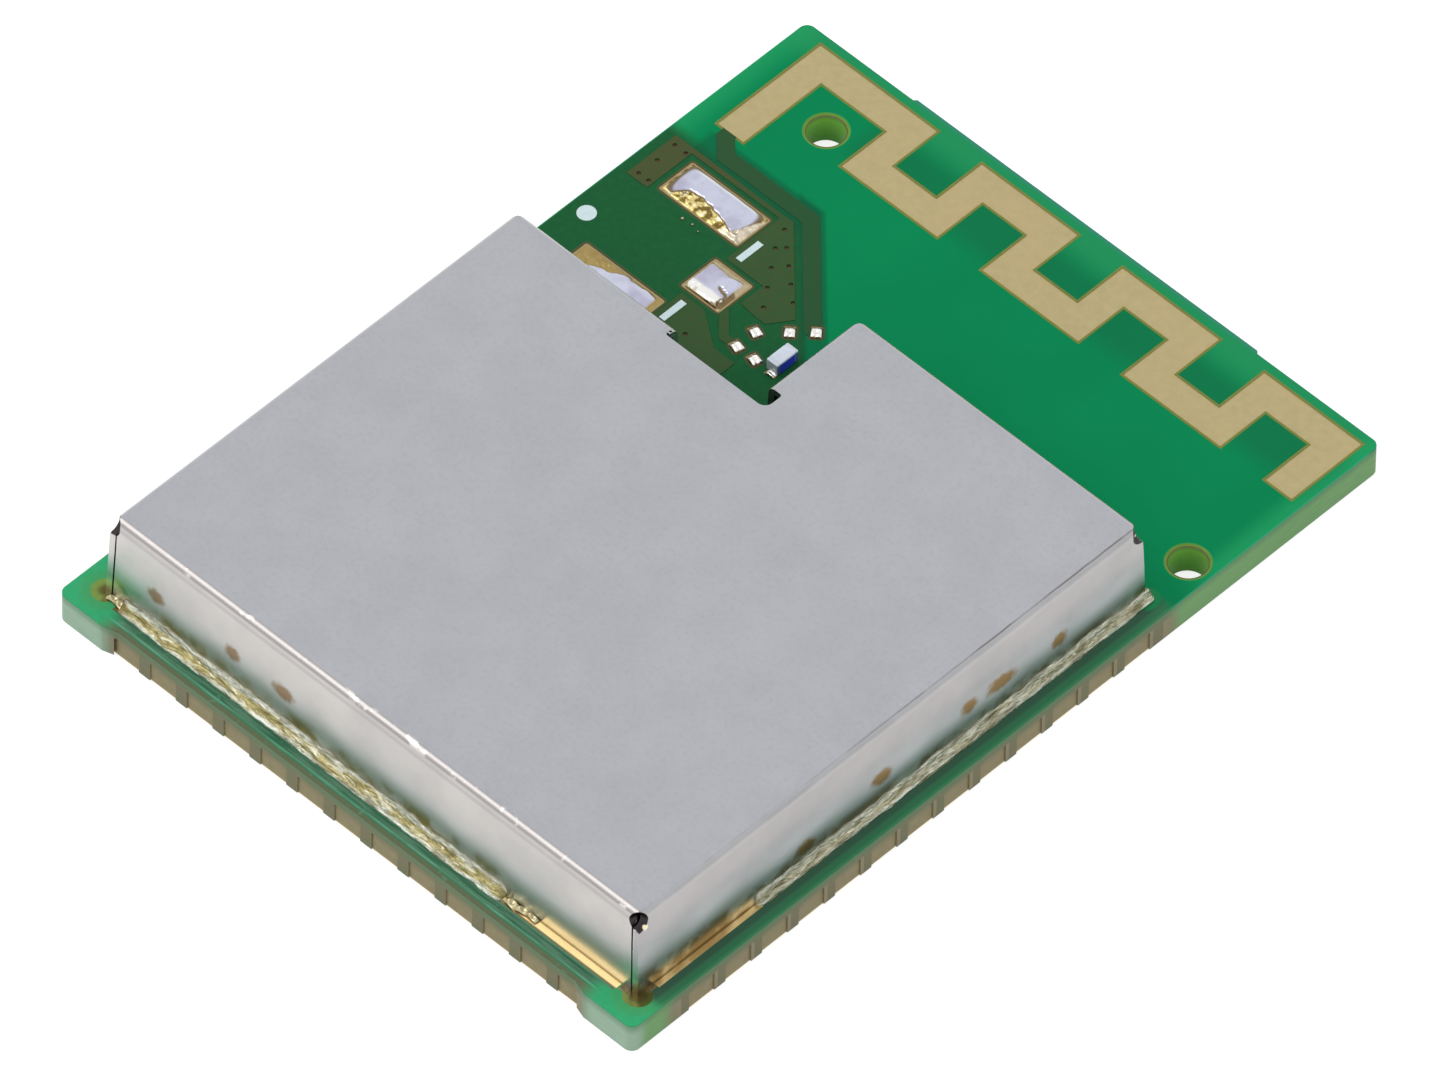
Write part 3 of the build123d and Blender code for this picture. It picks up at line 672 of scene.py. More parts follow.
def solder_mask_finish():
    """Green mask: bright over bare laminate, dark over the copper inside the board and over
    the feed, with strips of their own in front of the shield and beside it."""
    finish = Finish("solder_mask", Specular_IOR_Level=0.03)
    x, y = finish.x, finish.y
    wide = finish.noise(0.35, 2)
    fine = finish.noise(7.0, 3)
    finish.base = finish.mix(wide, (4, 123, 75), (8, 138, 85))
    between_legs = y.about(8.95, 0.2, 1.0) * x.rise(-5.2, -4.6)
    finish.tint(between_legs * 0.75, (16, 112, 70))
    far_rim = y.rise(9.25, 10.1) * 0.8
    finish.tint(far_rim, (38, 145, 90))
    side_rim = (x.fall(-7.75, -7.1) * y.rise(3.0, 6.5)).most(x.rise(7.2, 7.7) * y.rise(4.7, 6.0))
    finish.tint(side_rim * 0.7, (34, 156, 96))
    # Over the copper inside the board at the socket, and over the feed
    slanted = (x + y + wide * 0.1).fall(2.30, 2.50) * y.fall(6.34, 6.74)
    finish.tint(slanted * x.fall(-0.3, 0.1), finish.mix(fine, (26, 84, 50), (34, 98, 56)))
    slanted_feed = (x + y).about(FEED_SLANT, 0.30, 0.42) * y.fall(6.9, 7.1) * x.fall(-0.5, -0.2)
    level_feed = y.about(FEED_LEVEL, 0.30, 0.42) * x.about(-5.55, 1.4, 1.6)
    for feed in (slanted_feed, level_feed):
        finish.tint(feed * 0.55, (16, 84, 58))
    # Strips in front of the shield and beside it
    ahead = y.fall(-9.45, -9.35).most(x.fall(-7.2, -7.0) * y.fall(-7.5, -5.5))
    front = y - (FRONT + FRONT_SETBACK)
    streak = finish.noise(2.4, 3, 0.6, (0.5, 6, 1))
    strip = finish.mix(front.rise(0.03, 0.13), (104, 112, 84), (74, 124, 92))
    # A thin teal line along the front edge: a painted highlight on a ridge of the mask.
    ridge_highlight = (front + (streak - 0.5) * 0.06).about(0.15, 0.008, 0.04)
    strip = finish.mix(ridge_highlight * (0.45 + streak.rise(0.45, 0.6) * 0.5), strip, (104, 172, 142))
    mottled = finish.mix(streak.rise(0.35, 0.65), (52, 104, 76), (92, 132, 106))
    strip = finish.mix(front.rise(0.13, 0.2), strip, mottled)
    strip = finish.mix(finish.noise(5.0, 3).rise(0.62, 0.7) * 0.5, strip, (96, 150, 120))
    # Darker just in front of the bead: the mask's own darker tone with painted shade from the bead.
    strip = finish.mix(front.rise(0.25, 0.33) * 0.7, strip, (60, 100, 80))
    corner = finish.mix(fine, (50, 162, 108), (66, 176, 120))
    finish.tint(ahead, finish.mix(x.size().fall(6.2, 6.75), corner, strip))
    halo = finish.near(CAN_LEFT, CAN_FRONT).least(finish.near(CAN_RIGHT, CAN_FRONT))
    finish.tint(halo.fall(0.38, 0.62) * 0.3, (88, 134, 60))
    beside = x.rise(7.22, 7.27) * y.fall(4.3, 4.62) * y.rise(-9.75, -9.45)
    right = RIGHT - x
    lane = finish.mix(right.rise(0.16, 0.24), (58, 118, 84), (60, 96, 76))
    lane = finish.mix(right.fall(0.02, 0.08), lane, (62, 136, 92))
    finish.tint(beside, lane)
    rim = inside_edge(finish).fall(0.0, 0.035) * (1 - beside) * (1 - ahead)
    finish.tint(rim * 0.7, finish.mix(y.rise(9.9, 10.1), (70, 170, 130), (60, 132, 116)))
    weave = finish.noise(2.6, 3)
    return finish.done(weave, 0.006, 0.5, Roughness=weave * 0.12 + 0.26)


def laminate_finish():
    """Cut laminate: pale green at the corners, brown and mottled between the contacts, with
    fibres in thin layers; green coat on the underside; brown floors in the small holes."""
    finish = Finish("laminate", Roughness=0.6)
    x, y, z = finish.x, finish.y, finish.z
    layers = finish.noise(2.2, 4, 0.6, (1, 1, 8))
    blotch = finish.noise(1.6, 4, 0.6)
    pale = finish.mix(layers, (150, 186, 156), (184, 212, 190))
    side = finish.mix(layers, (102, 158, 96), (138, 184, 122))
    pale = finish.mix(x.about(RIGHT, 0.02, 0.3) * y.rise(-10.3, -9.9), pale, side)
    brown = finish.mix(blotch, (112, 116, 84), (138, 124, 94))
    brown = finish.mix(layers.rise(0.4, 0.7) * 0.6, brown, (104, 120, 86))
    front_row = y.fall(-10.0, -9.9) * x.size().fall(6.2, 6.7)
    side_row = x.size().rise(7.5, 7.6) * y.about(SIDE_ROW_MIDDLE, 6.6, 7.2)
    edge = finish.mix(front_row.most(side_row), pale, brown)
    # The side faces of the contacts' pockets are painted lighter: painted light that takes out the shade
    # in the pockets.
    half_pocket = (0.352, 0.362)
    from_middle = y - SIDE_ROW_MIDDLE
    front_steps = (x - x.maths("ROUND")).size().fall(*half_pocket)
    side_steps = (from_middle - from_middle.maths("ROUND")).size().fall(*half_pocket)
    steps = (front_row * front_steps).most(side_row * side_steps) * z.fall(0.5, 0.52)
    edge = finish.mix(steps, edge, (152, 142, 112))
    edge = finish.mix(z.rise(0.46, 0.68) * 0.55, edge, (74, 134, 92))
    finish.base = finish.mix(z.fall(0.004, 0.012), edge, (16, 108, 66))
    hole_floor = z.rise(0.700, 0.704) * inside_edge(finish).rise(0.08, 0.12)
    finish.tint(hole_floor, (84, 60, 34))
    return finish.done(layers, 0.012, 0.6)


def collar_finish():
    """Hole rim: olive where the mask ends, light green down the wall: painted light standing in for
    light that glows through the laminate.
    """
    finish = Finish("hole_rim", Roughness=0.5, Specular_IOR_Level=0.15)
    blotch = finish.noise(5.0, 3)
    # The wall down the hole is painted light green: painted light for the glow through the laminate,
    # lifting the shade in the hole.
    wall = finish.mix(finish.z.rise(0.1, 0.62), (120, 184, 84), (128, 190, 78))
    rim = finish.mix(blotch, (96, 134, 46), (114, 146, 58))
    finish.base = finish.mix(finish.z.rise(0.60, 0.71), wall, rim)
    finish.tint(finish.z.rise(0.722, 0.732), (52, 150, 78))
    return finish.done(blotch, 0.006, 0.5)


def shield_finish():
    """Matt tin-plated sheet: faint blotches, fine scratches, brown heat spots on the walls,
    brown lines along the right and back bends, and flux over the walls' feet with painted
    reflection of the solder in it. The front wall carries painted light, the lower walls
    painted reflection and the front bend painted glints."""
    finish = Finish("shield_sheet", Metallic=1.0)
    x, y, z = finish.x, finish.y, finish.z
    lid = z.rise(2.80, 2.87)
    blotch = finish.noise(0.9, 6, 0.62)
    speck = finish.noise(9.0, 4, 0.65)
    right_wall = x.rise(7.0, 7.1)
    patches = blotch.rise(0.3, 0.7)
    top = finish.mix(patches, (175, 177, 183), (180, 182, 187))
    top = finish.mix(speck.rise(0.45, 0.75) * 0.35, top, (162, 162, 166))
    # The front wall is painted lighter than the lid and the right wall: painted light from the lamp in
    # front. Lower down the walls are painted paler and bluer, and the right wall's foot paler still:
    # painted reflection.
    darker = finish.mix(patches, (166, 166, 168), (178, 178, 179))
    wall = finish.mix(right_wall, finish.mix(patches, (193, 190, 188), (204, 200, 197)), darker)
    wall = finish.mix(z.fall(1.1, 2.1) * 0.7, wall, (206, 214, 217))
    wall = finish.mix(z.fall(1.0, 1.25) * right_wall * 0.8, wall, (236, 238, 232))
    finish.base = finish.mix(lid, wall, top)
    # The front bend is painted darker, which dims the lamp's highlight there, with painted glints along
    # it.
    bend = z.about(2.84, 0.03, 0.06) * y.fall(-9.46, -9.43)
    finish.tint(bend * 0.9, (164, 159, 157))
    finish.tint(bend * finish.noise(3.0, 3).rise(0.6, 0.7), (222, 218, 214))
    shade = z.about(2.70, 0.0, 0.1) * y.fall(-9.5, -9.45)
    finish.tint(shade * 0.5, (160, 156, 158))
    scratch = finish.noise(2.5, 4, 0.6, (5, 0.6, 1), 1.5)
    scratch_too = finish.noise(2.5, 4, 0.6, (0.7, 4.5, 1), 1.8)
    scratches = scratch.about(0.5, 0.0, 0.007).most(scratch_too.about(0.5, 0.0, 0.006))
    worn = finish.noise(0.6, 3).rise(0.48, 0.66) * lid
    finish.tint(scratches * worn * 0.5, (142, 142, 146))
    hair = finish.noise(2.2, 4, 0.6, (1.0, 5.0, 1), 2.2)
    hairs = hair.about(0.5, 0.0, 0.010) * finish.noise(1.1, 3).rise(0.46, 0.6)
    finish.tint(hairs * x.rise(5.4, 6.9) * lid * 0.45, (136, 130, 128))
    dust = finish.noise(16.0, 3).rise(0.66, 0.74) * x.rise(5.6, 6.9) * y.fall(-1.0, 2.0) * lid
    finish.tint(dust * 0.5, (214, 206, 202))
    # A warm band below the right bend, and thin brown lines along the right and back bends
    pinkish = x.rise(7.08, 7.14) * z.fall(2.72, 2.80) * z.rise(1.9, 2.3)
    finish.tint(pinkish * 0.4, (192, 184, 182))
    wavering = finish.noise(1.4, 3) * 0.03
    right_line = (x + wavering).about(7.07, 0.004, 0.025) * z.rise(2.72, 2.78)
    right_line = right_line * (finish.noise(1.1, 3).rise(0.36, 0.6) * 0.6 + 0.4) * y.fall(4.1, 4.2)
    finish.tint(right_line * (y.rise(-6.0, 0.5) * 0.55 + 0.15), (92, 80, 70))
    back_line = y.rise(4.10, 4.17) * z.rise(2.70, 2.76)
    finish.tint(back_line * 0.8, (128, 108, 64))
    spots = [(-5.78, CAN_FRONT, 1.62, 1), (-3.71, CAN_FRONT, 1.67, 1), (-2.33, CAN_FRONT, 1.65, 1.35),
             (CAN_RIGHT, -5.12, 1.22, 1.3), (CAN_RIGHT, -3.02, 1.53, 1.3), (CAN_RIGHT, -0.59, 1.60, 1),
             (CAN_RIGHT, 0.28, 1.59, 1.9), (CAN_RIGHT, 1.89, 1.50, 1)]
    ragged = finish.noise(8.0, 3) * 0.7
    marks = []
    for spot_x, spot_y, spot_z, size in spots:
        squeeze = (1, 0.8 / size, 0.9) if spot_x == CAN_RIGHT else (0.8 / size, 1, 0.9)
        marks.append((finish.near(spot_x, spot_y, 0.2, spot_z, squeeze) + ragged).fall(0.85, 1.5))
    finish.tint(most_of(marks) * 0.9, finish.mix(right_wall, (146, 118, 84), (146, 112, 48)))
    # Flux on the walls' feet, together with a painted reflection of the solder below.
    flux = finish.noise(1.6, 3).rise(0.40, 0.60)
    finish.tint(flux * z.fall(1.05, 1.32) * right_wall * 0.8, (128, 108, 66))
    front_flux_and_reflection = flux * z.fall(1.06, 1.42) * y.fall(-9.65, -9.6) * x.fall(3.4, 3.7)
    finish.tint(front_flux_and_reflection * 0.85, (150, 140, 70))
    # The sheet's cut ends in the corner reliefs lie in shadow, and two of them catch the light
    relief_level = BOARD + CAN_HEIGHT - RELIEF_DROP
    cuts = [finish.near(*corner, RELIEF, relief_level).fall(1.03, 1.06) for corner in LID_CORNERS]
    finish.tint(most_of(cuts) * 0.95, (40, 34, 36))
    glint = finish.near(7.15, -9.44, 0.07, 2.47).least(finish.near(-7.08, -9.66, 0.07, 2.60))
    finish.tint(glint.fall(0.7, 1.1), (250, 236, 204))
    return finish.done(speck, 0.003, 0.5, Roughness=speck * 0.05 + 0.29)


def metal_finish(name, low, high):
    """Plain metal with fine grain between two colours."""
    finish = Finish(name, Metallic=1.0, Roughness=0.3)
    speck = finish.noise(8.0, 4, 0.6)
    finish.base = finish.mix(speck, low, high)
    return finish.done(speck, 0.003, 0.6)


def gold_finish():
    """Gold-plated lands: bright in front of the shield, tan round the socket, brown with
    flux at the shield's corners, and darker in a thin line along the walls' feet."""
    finish = Finish("gold_plate", Metallic=1.0)
    x, y = finish.x, finish.y
    speck = finish.noise(8.0, 4, 0.6)
    streak = finish.noise(3.0, 3, 0.5, (0.3, 3, 1))
    bright = finish.mix(streak, (216, 184, 126), (238, 208, 150))
    tan = finish.mix(speck, (146, 126, 84), (182, 162, 122))
    finish.base = finish.mix(y.rise(1.8, 2.0) * x.fall(-0.7, -0.6), bright, tan)
    front_foot = y.about(CAN_FRONT - 0.012, 0.006, 0.02)
    right_foot = x.about(CAN_RIGHT + 0.012, 0.006, 0.02)
    finish.tint(front_foot.most(right_foot) * 0.8, (112, 84, 36))
    olive = finish.mix(speck, (92, 104, 50), (116, 124, 66))
    flux = finish.mix(speck, (80, 72, 42), (104, 96, 56))
    left = finish.near(CAN_LEFT, CAN_FRONT)
    finish.tint(left.fall(0.62, 0.74), flux)
    for corner_x, corner_y in ((CAN_LEFT, CAN_FRONT), (CAN_RIGHT, CAN_FRONT), (CAN_RIGHT, CAN_BACK),
                               (CAN_LEFT, NOTCH_Y), (NOTCH_X, CAN_BACK)):
        near = finish.near(corner_x, corner_y) + speck * 0.08
        finish.tint(near.fall(0.38, 0.46), finish.mix(near.rise(0.16, 0.30), flux, olive))
    light = left.fall(0.44, 0.48) * left.rise(0.06, 0.22)
    light = light * x.fall(CAN_LEFT + 0.05, CAN_LEFT + 0.15)
    finish.tint(light * 0.85, finish.mix(speck, (110, 142, 66), (134, 158, 84)))
    hidden = finish.near(CAN_RIGHT, CAN_BACK).fall(0.45, 0.5)
    finish.tint(hidden, (34, 118, 72))
    # A pale rim on the front right corner land: a painted highlight.
    rim = finish.near(CAN_RIGHT, CAN_FRONT).about(0.325, 0.01, 0.03) * x.fall(7.25, 7.3)
    finish.tint(rim * 0.8, (214, 222, 196))
    along = x.fall(6.8, 6.9) * x.rise(-6.5, -6.3)
    outer = (CAN_FRONT - y + (streak - 0.5) * 0.02).rise(0.172, 0.186) * along
    line = y.about(CAN_FRONT - 0.18, 0.012, 0.03) * along
    finish.tint(outer, finish.mix(speck, (56, 104, 68), (72, 128, 86)))
    finish.tint(line * 0.7, (104, 88, 48))
    return finish.done(speck, 0.004, 0.6, Roughness=speck * 0.1 + 0.24, Metallic=1 - outer)


def contact_finish():
    """Dull brown plating, greener towards its upper end."""
    finish = Finish("contact_plate", Metallic=0.35, Roughness=0.5)
    speck = finish.noise(5.0, 4, 0.6)
    finish.base = finish.mix(speck, (132, 121, 85), (156, 146, 108))
    finish.tint(finish.z.rise(0.30, 0.52) * 0.8, (112, 118, 84))
    finish.tint(finish.z.fall(0.02, 0.035), (196, 172, 112))
    return finish.done(speck, 0.006, 0.6)


def bead_finish():
    """Solder with flux: silver streaks along its upper part, gold and brown in the middle,
    painted shade in its creases and along its top against the wall, and a pale lip at its
    foot that is a painted highlight. Reads the place along and across the bead in its spots."""
    finish = Finish("solder", Metallic=1.0)
    spots = finish.node("ShaderNodeUVMap", {"uv_map": "spots"})
    v = finish.parts(spots)[1]
    squeeze = (0.55, 0.9, 1)
    right_side = finish.x.rise(7.1, 7.2)
    ribbons = finish.noise(3.2, 3, 0.55, squeeze, 0.4, spots)
    patches = finish.noise(1.5, 3, 0.5, squeeze, 0.6, spots)
    grain = finish.noise(11.0, 4, 0.65, squeeze, where=spots)
    silver = finish.mix(grain.rise(0.3, 0.7), (146, 148, 132), (204, 206, 192))
    gold = finish.mix(grain.rise(0.3, 0.7), (122, 112, 68), (192, 182, 132))
    golden = (v + (patches - 0.5) * 0.9).about(0.56, 0.14, 0.30)
    finish.base = finish.mix(golden * (1 - right_side * 0.5), silver, gold)
    # Dark creases: painted shade in the crumples.
    finish.tint(ribbons.fall(0.36, 0.46) * 0.55, (104, 96, 58))
    finish.tint(ribbons.rise(0.56, 0.64) * 0.6, (222, 222, 210))
    # The pale lip: a painted highlight along its outer edge.
    lip = (v + (patches - 0.5) * 0.15).about(0.93, 0.02, 0.06) * ribbons.rise(0.35, 0.55)
    finish.tint(lip * 0.7, (206, 214, 200))
    glint = finish.noise(6.0, 3, 0.5, squeeze, where=spots).rise(0.62, 0.70)
    finish.tint(glint * 0.7, (246, 246, 230))
    # Darker along the top, where the bead meets the wall: painted shade.
    finish.tint(v.fall(0.03, 0.14) * 0.6, (112, 100, 58))
    flux_end = finish.near(-6.62, -9.9, 0.22).fall(0.6, 1.2)
    finish.tint(flux_end * 0.7, (108, 92, 48))
    return finish.done(grain * 0.8 + ribbons, 0.022, 0.8, Roughness=grain * 0.2 + 0.28)


def plain_finish(name, low, high, roughness, per_mm=6.0):
    """A printed, moulded or ceramic surface: speckled between two colours."""
    finish = Finish(name)
    speck = finish.noise(per_mm, 4, 0.6)
    finish.base = finish.mix(speck, low, high)
    return finish.done(speck, 0.004, 0.5, Roughness=speck * 0.1 + roughness)


def coated_copper_finish():
    """Copper under the mask: olive, browner at the upper left."""
    finish = Finish("coated_copper", Roughness=0.35, Specular_IOR_Level=0.12)
    blotch = finish.noise(1.3, 4, 0.6)
    fine = finish.noise(8.0, 3)
    finish.base = finish.mix(blotch, (42, 78, 42), (60, 88, 46))
    brown = (finish.x + finish.y * -0.6 + 9.6).fall(-0.3, 0.6)
    finish.tint(brown * 0.45, (84, 76, 44))
    finish.tint(fine.rise(0.5, 0.75) * 0.35, (86, 72, 40))
    slanted_feed = (finish.x + finish.y - FEED_SLANT).rise(-0.36, -0.26)
    level_feed = (finish.y - FEED_LEVEL).rise(-0.20, -0.16)
    finish.tint(slanted_feed.most(level_feed) * 0.85, (32, 80, 46))
    return finish.done(fine, 0.003, 0.5)


def antenna_finish():
    """Bare matt tan metal."""
    finish = Finish("antenna_copper", Metallic=0.2, Roughness=0.6, Specular_IOR_Level=0.2)
    speck = finish.noise(6.0, 5, 0.65)
    wide = finish.noise(0.7, 3)
    finish.base = finish.mix(speck, (170, 156, 112), (194, 180, 134))
    finish.tint(wide.rise(0.4, 0.7) * 0.4, (190, 168, 124))
    return finish.done(speck, 0.004, 0.5)


def lip_finish():
    """Mask drawn thin over an edge: olive, darker round the lands."""
    finish = Finish("mask_lip", Roughness=0.4, Specular_IOR_Level=0.15)
    speck = finish.noise(5.0, 3)
    finish.base = finish.mix(speck, (104, 118, 48), (134, 132, 62))
    finish.tint(finish.y.fall(6.5, 6.6), (70, 78, 44))
    return finish.done(speck, 0.003, 0.5)


def matching_part_finish():
    """Chip part: white printed top, blue body."""
    finish = Finish("part_ceramic", Roughness=0.4)
    speck = finish.noise(12.0, 3)
    body = finish.mix(speck, (40, 50, 190), (54, 68, 218))
    cap = finish.mix(speck, (200, 212, 228), (220, 228, 238))
    finish.base = finish.mix(finish.z.rise(BOARD + 0.25, BOARD + 0.275), body, cap)
    return finish.done(speck, 0.004, 0.5)


def matching_end_finish():
    """Tinned end: pale on top and in front, blue where it stands beside the body."""
    finish = Finish("matching_ends", Metallic=0.3, Roughness=0.4)
    grain = finish.noise(8.0, 4, 0.6)
    finish.base = finish.mix(grain, (188, 194, 206), (218, 224, 236))
    side = (finish.x - MATCHING_PART[0]).size().rise(0.144, 0.15)
    side = side * finish.z.fall(BOARD + 0.26, BOARD + 0.28)
    finish.tint(side * 0.85, (46, 56, 180))
    return finish.done(grain, 0.003, 0.6)


def tin_finish():
    """Tinned lands: a pale lavender mound, with golden crumples where the solder is thin; painted shade
    in patches, and painted highlights on the crumples and along two rims.
    """
    finish = Finish("tin", Metallic=1.0)
    x, y = finish.x, finish.y
    land_x, land_y = SOCKET_LANDS[0]
    warm = finish.noise(2.6, 4, 0.6)
    crinkle = finish.noise(6.4, 2.5, 0.5)
    thin = finish.z.fall(BOARD + 0.042, BOARD + 0.064)
    pale = finish.mix(warm, (186, 188, 208), (216, 218, 236))
    # Darker patches on the mound: painted shade.
    pale = finish.mix(finish.noise(1.6, 3).rise(0.4, 0.65) * 0.6, pale, (160, 156, 180))
    # A paler strip along the upper land's back rim: a painted highlight.
    pale = finish.mix((y - land_y).rise(0.30, 0.38), pale, (228, 234, 238))
    golden = finish.mix(crinkle.rise(0.38, 0.54), (122, 104, 54), (226, 206, 138))
    # The brightest crumples: painted highlights.
    golden = finish.mix(crinkle.rise(0.55, 0.64), golden, (252, 246, 214))
    facet = (x - land_x - 0.45 * (y - land_y)).rise(0.84, 0.9)
    silvery = finish.mix(crinkle, (176, 164, 140), (236, 230, 222))
    golden = finish.mix(facet * 0.75, golden, silvery)
    dull = finish.mix(crinkle, (140, 118, 66), (182, 162, 108))
    golden = finish.mix(y.fall(3.3, 3.4), golden, dull)
    middle = finish.in_square(*SIGNAL_LAND, 1.0)
    border = finish.mix(crinkle, (158, 144, 108), (200, 188, 156))
    crease = finish.mix(crinkle, (84, 70, 48), (150, 130, 92))
    creased = finish.mix(finish.near(-3.95, 3.98, 0.3).fall(0.9, 1.1), border, crease)
    golden = finish.mix(middle, golden, creased)
    # A white strip along the middle land's front: a painted highlight.
    front = (y + warm * 0.1).fall(3.96, 4.06)
    pale = finish.mix(front * middle, pale, (240, 240, 236))
    step = finish.z.about(BOARD + 0.052, 0.006, 0.018) * (1 - facet) * (1 - middle)
    finish.base = finish.mix(thin, pale, golden)
    finish.tint(step * 0.9, (112, 94, 62))
    return finish.done(crinkle * thin + warm * 0.2, 0.03, 0.6, Roughness=thin * 0.14 + step * 0.2 + 0.2)


def bump_finish():
    """Bright solder on the small lands, white high up as a painted highlight, tan low down as painted
    shade.
    """
    finish = Finish("small_solder", Metallic=1.0, Roughness=0.25)
    speck = finish.noise(9.0, 3)
    low = finish.mix(speck, (112, 92, 58), (166, 142, 104))
    high = finish.mix(speck, (222, 220, 212), (246, 246, 242))
    dull = finish.mix(speck, (176, 160, 112), (222, 212, 176))
    high = finish.mix(finish.y.fall(-9.0, -8.0), high, dull)
    # White high up is a painted highlight, tan low down painted shade.
    finish.base = finish.mix(finish.z.rise(BOARD + 0.022, BOARD + 0.044), low, high)
    return finish.done(speck, 0.006, 0.6)


def flux_finish():
    """Brown glassy flux with pale specks that are painted glints."""
    finish = Finish("flux", Roughness=0.3)
    blotch = finish.noise(5.0, 4, 0.6)
    finish.base = finish.mix(blotch.rise(0.3, 0.7), (80, 64, 28), (124, 106, 56))
    # Pale specks: painted glints on the glassy flux.
    finish.tint(finish.noise(5.0, 3).rise(0.62, 0.7) * 0.8, (196, 190, 156))
    return finish.done(blotch, 0.008, 0.6)


finishes = {
    "mask": solder_mask_finish(),
    "laminate": laminate_finish(),
    "collar": collar_finish(),
    "shield": shield_finish(),
    "antenna": antenna_finish(),
    "lip": lip_finish(),
    "coated": coated_copper_finish(),
    "gold": gold_finish(),
    "contact": contact_finish(),
    "bead": bead_finish(),
    "tin": tin_finish(),
    "bump": bump_finish(),
    "flux": flux_finish(),
    "print": plain_finish("print", (188, 212, 216), (216, 232, 236), 0.5, 9.0),
    "part": matching_part_finish(),
    "part_end": matching_end_finish(),
    "ends": metal_finish("part_ends", (176, 176, 172), (206, 206, 202)),
    "chip": plain_finish("chip_mould", (26, 26, 28), (42, 42, 46), 0.5),
    "capacitor": plain_finish("capacitor_ceramic", (136, 104, 70), (164, 132, 96), 0.45),
    "resistor": plain_finish("resistor_ceramic", (44, 44, 48), (74, 74, 80), 0.35),
    "coil": plain_finish("coil_ceramic", (176, 188, 192), (204, 214, 220), 0.4),
    "crystal_base": plain_finish("crystal_ceramic", (146, 136, 106), (172, 162, 132), 0.5),
    "crystal_lid": metal_finish("crystal_metal", (184, 180, 164), (206, 202, 188)),
}

painted = {
    "mask": ["mask_top"],
    "laminate": ["circuit_board"],
    "antenna": ["antenna"],
    "coated": ["feed_line", "signal_line", "ground_copper"],
    "gold": ["shield_lands", "socket_land_upper", "socket_land_lower", "socket_land_middle",
             "matching_lands"],
    "contact": ["contacts_front", "contacts_left", "contacts_right"],
    "print": ["printed_dashes", "printed_dot"],
    "ends": ["radio_chip_leads", "radio_chip_pad", "power_inductor_ends",
             "capacitor_ends", "resistor_ends", "filter_coil_ends"],
    "chip": ["radio_chip", "power_inductor"],
    "capacitor": ["capacitor_bodies"],
    "resistor": ["resistor_bodies"],
    "coil": ["filter_coil_bodies"],
    "crystal_base": ["crystal_base"],
    "crystal_lid": ["crystal_lid"],
}
for key, names in painted.items():
    for name in names:
        paint(name, finishes[key])

# Pieces

piece("shield_can", shield(), finishes["shield"], ["shield"], sharp=35)

WALL_END = 0.35
beads = {
    "solder_front": ((CAN_LEFT + 0.48, CAN_FRONT), (CAN_LEFT + 10.88, CAN_FRONT), 0.25),
    "solder_right": ((CAN_RIGHT, -6.51), (CAN_RIGHT, 4.44), 0.15),
    "solder_back": ((CAN_RIGHT - WALL_END, CAN_BACK), (NOTCH_X + WALL_END, CAN_BACK), 0.15),
    "solder_left": ((CAN_LEFT, NOTCH_Y - WALL_END), (CAN_LEFT, CAN_FRONT + WALL_END), 0.15),
    "solder_notch_side": ((NOTCH_X, CAN_BACK - WALL_END), (NOTCH_X, WINDOW_HIGH + WALL_END), 0.15),
    "solder_notch_ledge": ((WINDOW_LEFT - WALL_END, NOTCH_Y), (CAN_LEFT + WALL_END, NOTCH_Y), 0.15),
}
for index, (node, (start, end, width)) in enumerate(beads.items()):
    shape, spots = bead(start, end, width, 0.26, 100 + 10 * index)
    piece(node + "_bead", shape, finishes["bead"], [node], sharp=50, spots=spots)

RIM = 0.1
tins = {
    "upper": (SOCKET_LANDS[0], SOCKET_LAND_SIZE, upper_tin),
    "lower": (SOCKET_LANDS[1], SOCKET_LAND_SIZE, lower_tin),
    "middle": (SIGNAL_LAND, SIGNAL_LAND_SIZE, middle_tin),
}
for name, ((x, y), (length, width), relief) in tins.items():
    shape = land_solder(x, y, length - RIM, width - RIM, 0, relief)
    piece("tin_" + name, shape, finishes["tin"], ["socket_tin_" + name], sharp=60)

bumps = [land_solder(x, y, 0.31, 0.24, turn, small_bump, 4, (30, 26)) for x, y, turn in MATCHING_LANDS]
piece("matching_bumps", joined(bumps), finishes["bump"], ["matching_solder"], sharp=60)

part_x, part_y = MATCHING_PART
body = pillow(placed(rounded(0.3, 0.42, 0.02, 4), part_x, part_y, 0), BOARD, BOARD + 0.3, 0.02)
ends = []
for side in (-1, 1):
    outline = placed(rounded(0.304, 0.1, 0.03, 5), part_x, part_y + side * 0.25, 0)
    ends.append(pillow(outline, BOARD, BOARD + 0.303, 0.03))
piece("matching_part_body", body, finishes["part"], ["matching_part"])
piece("matching_part_caps", joined(ends), finishes["part_end"], ["matching_part_ends"])

piece("mask_edges", mask_lips(), finishes["lip"])
piece("hole_rims", hole_collars(), finishes["collar"])

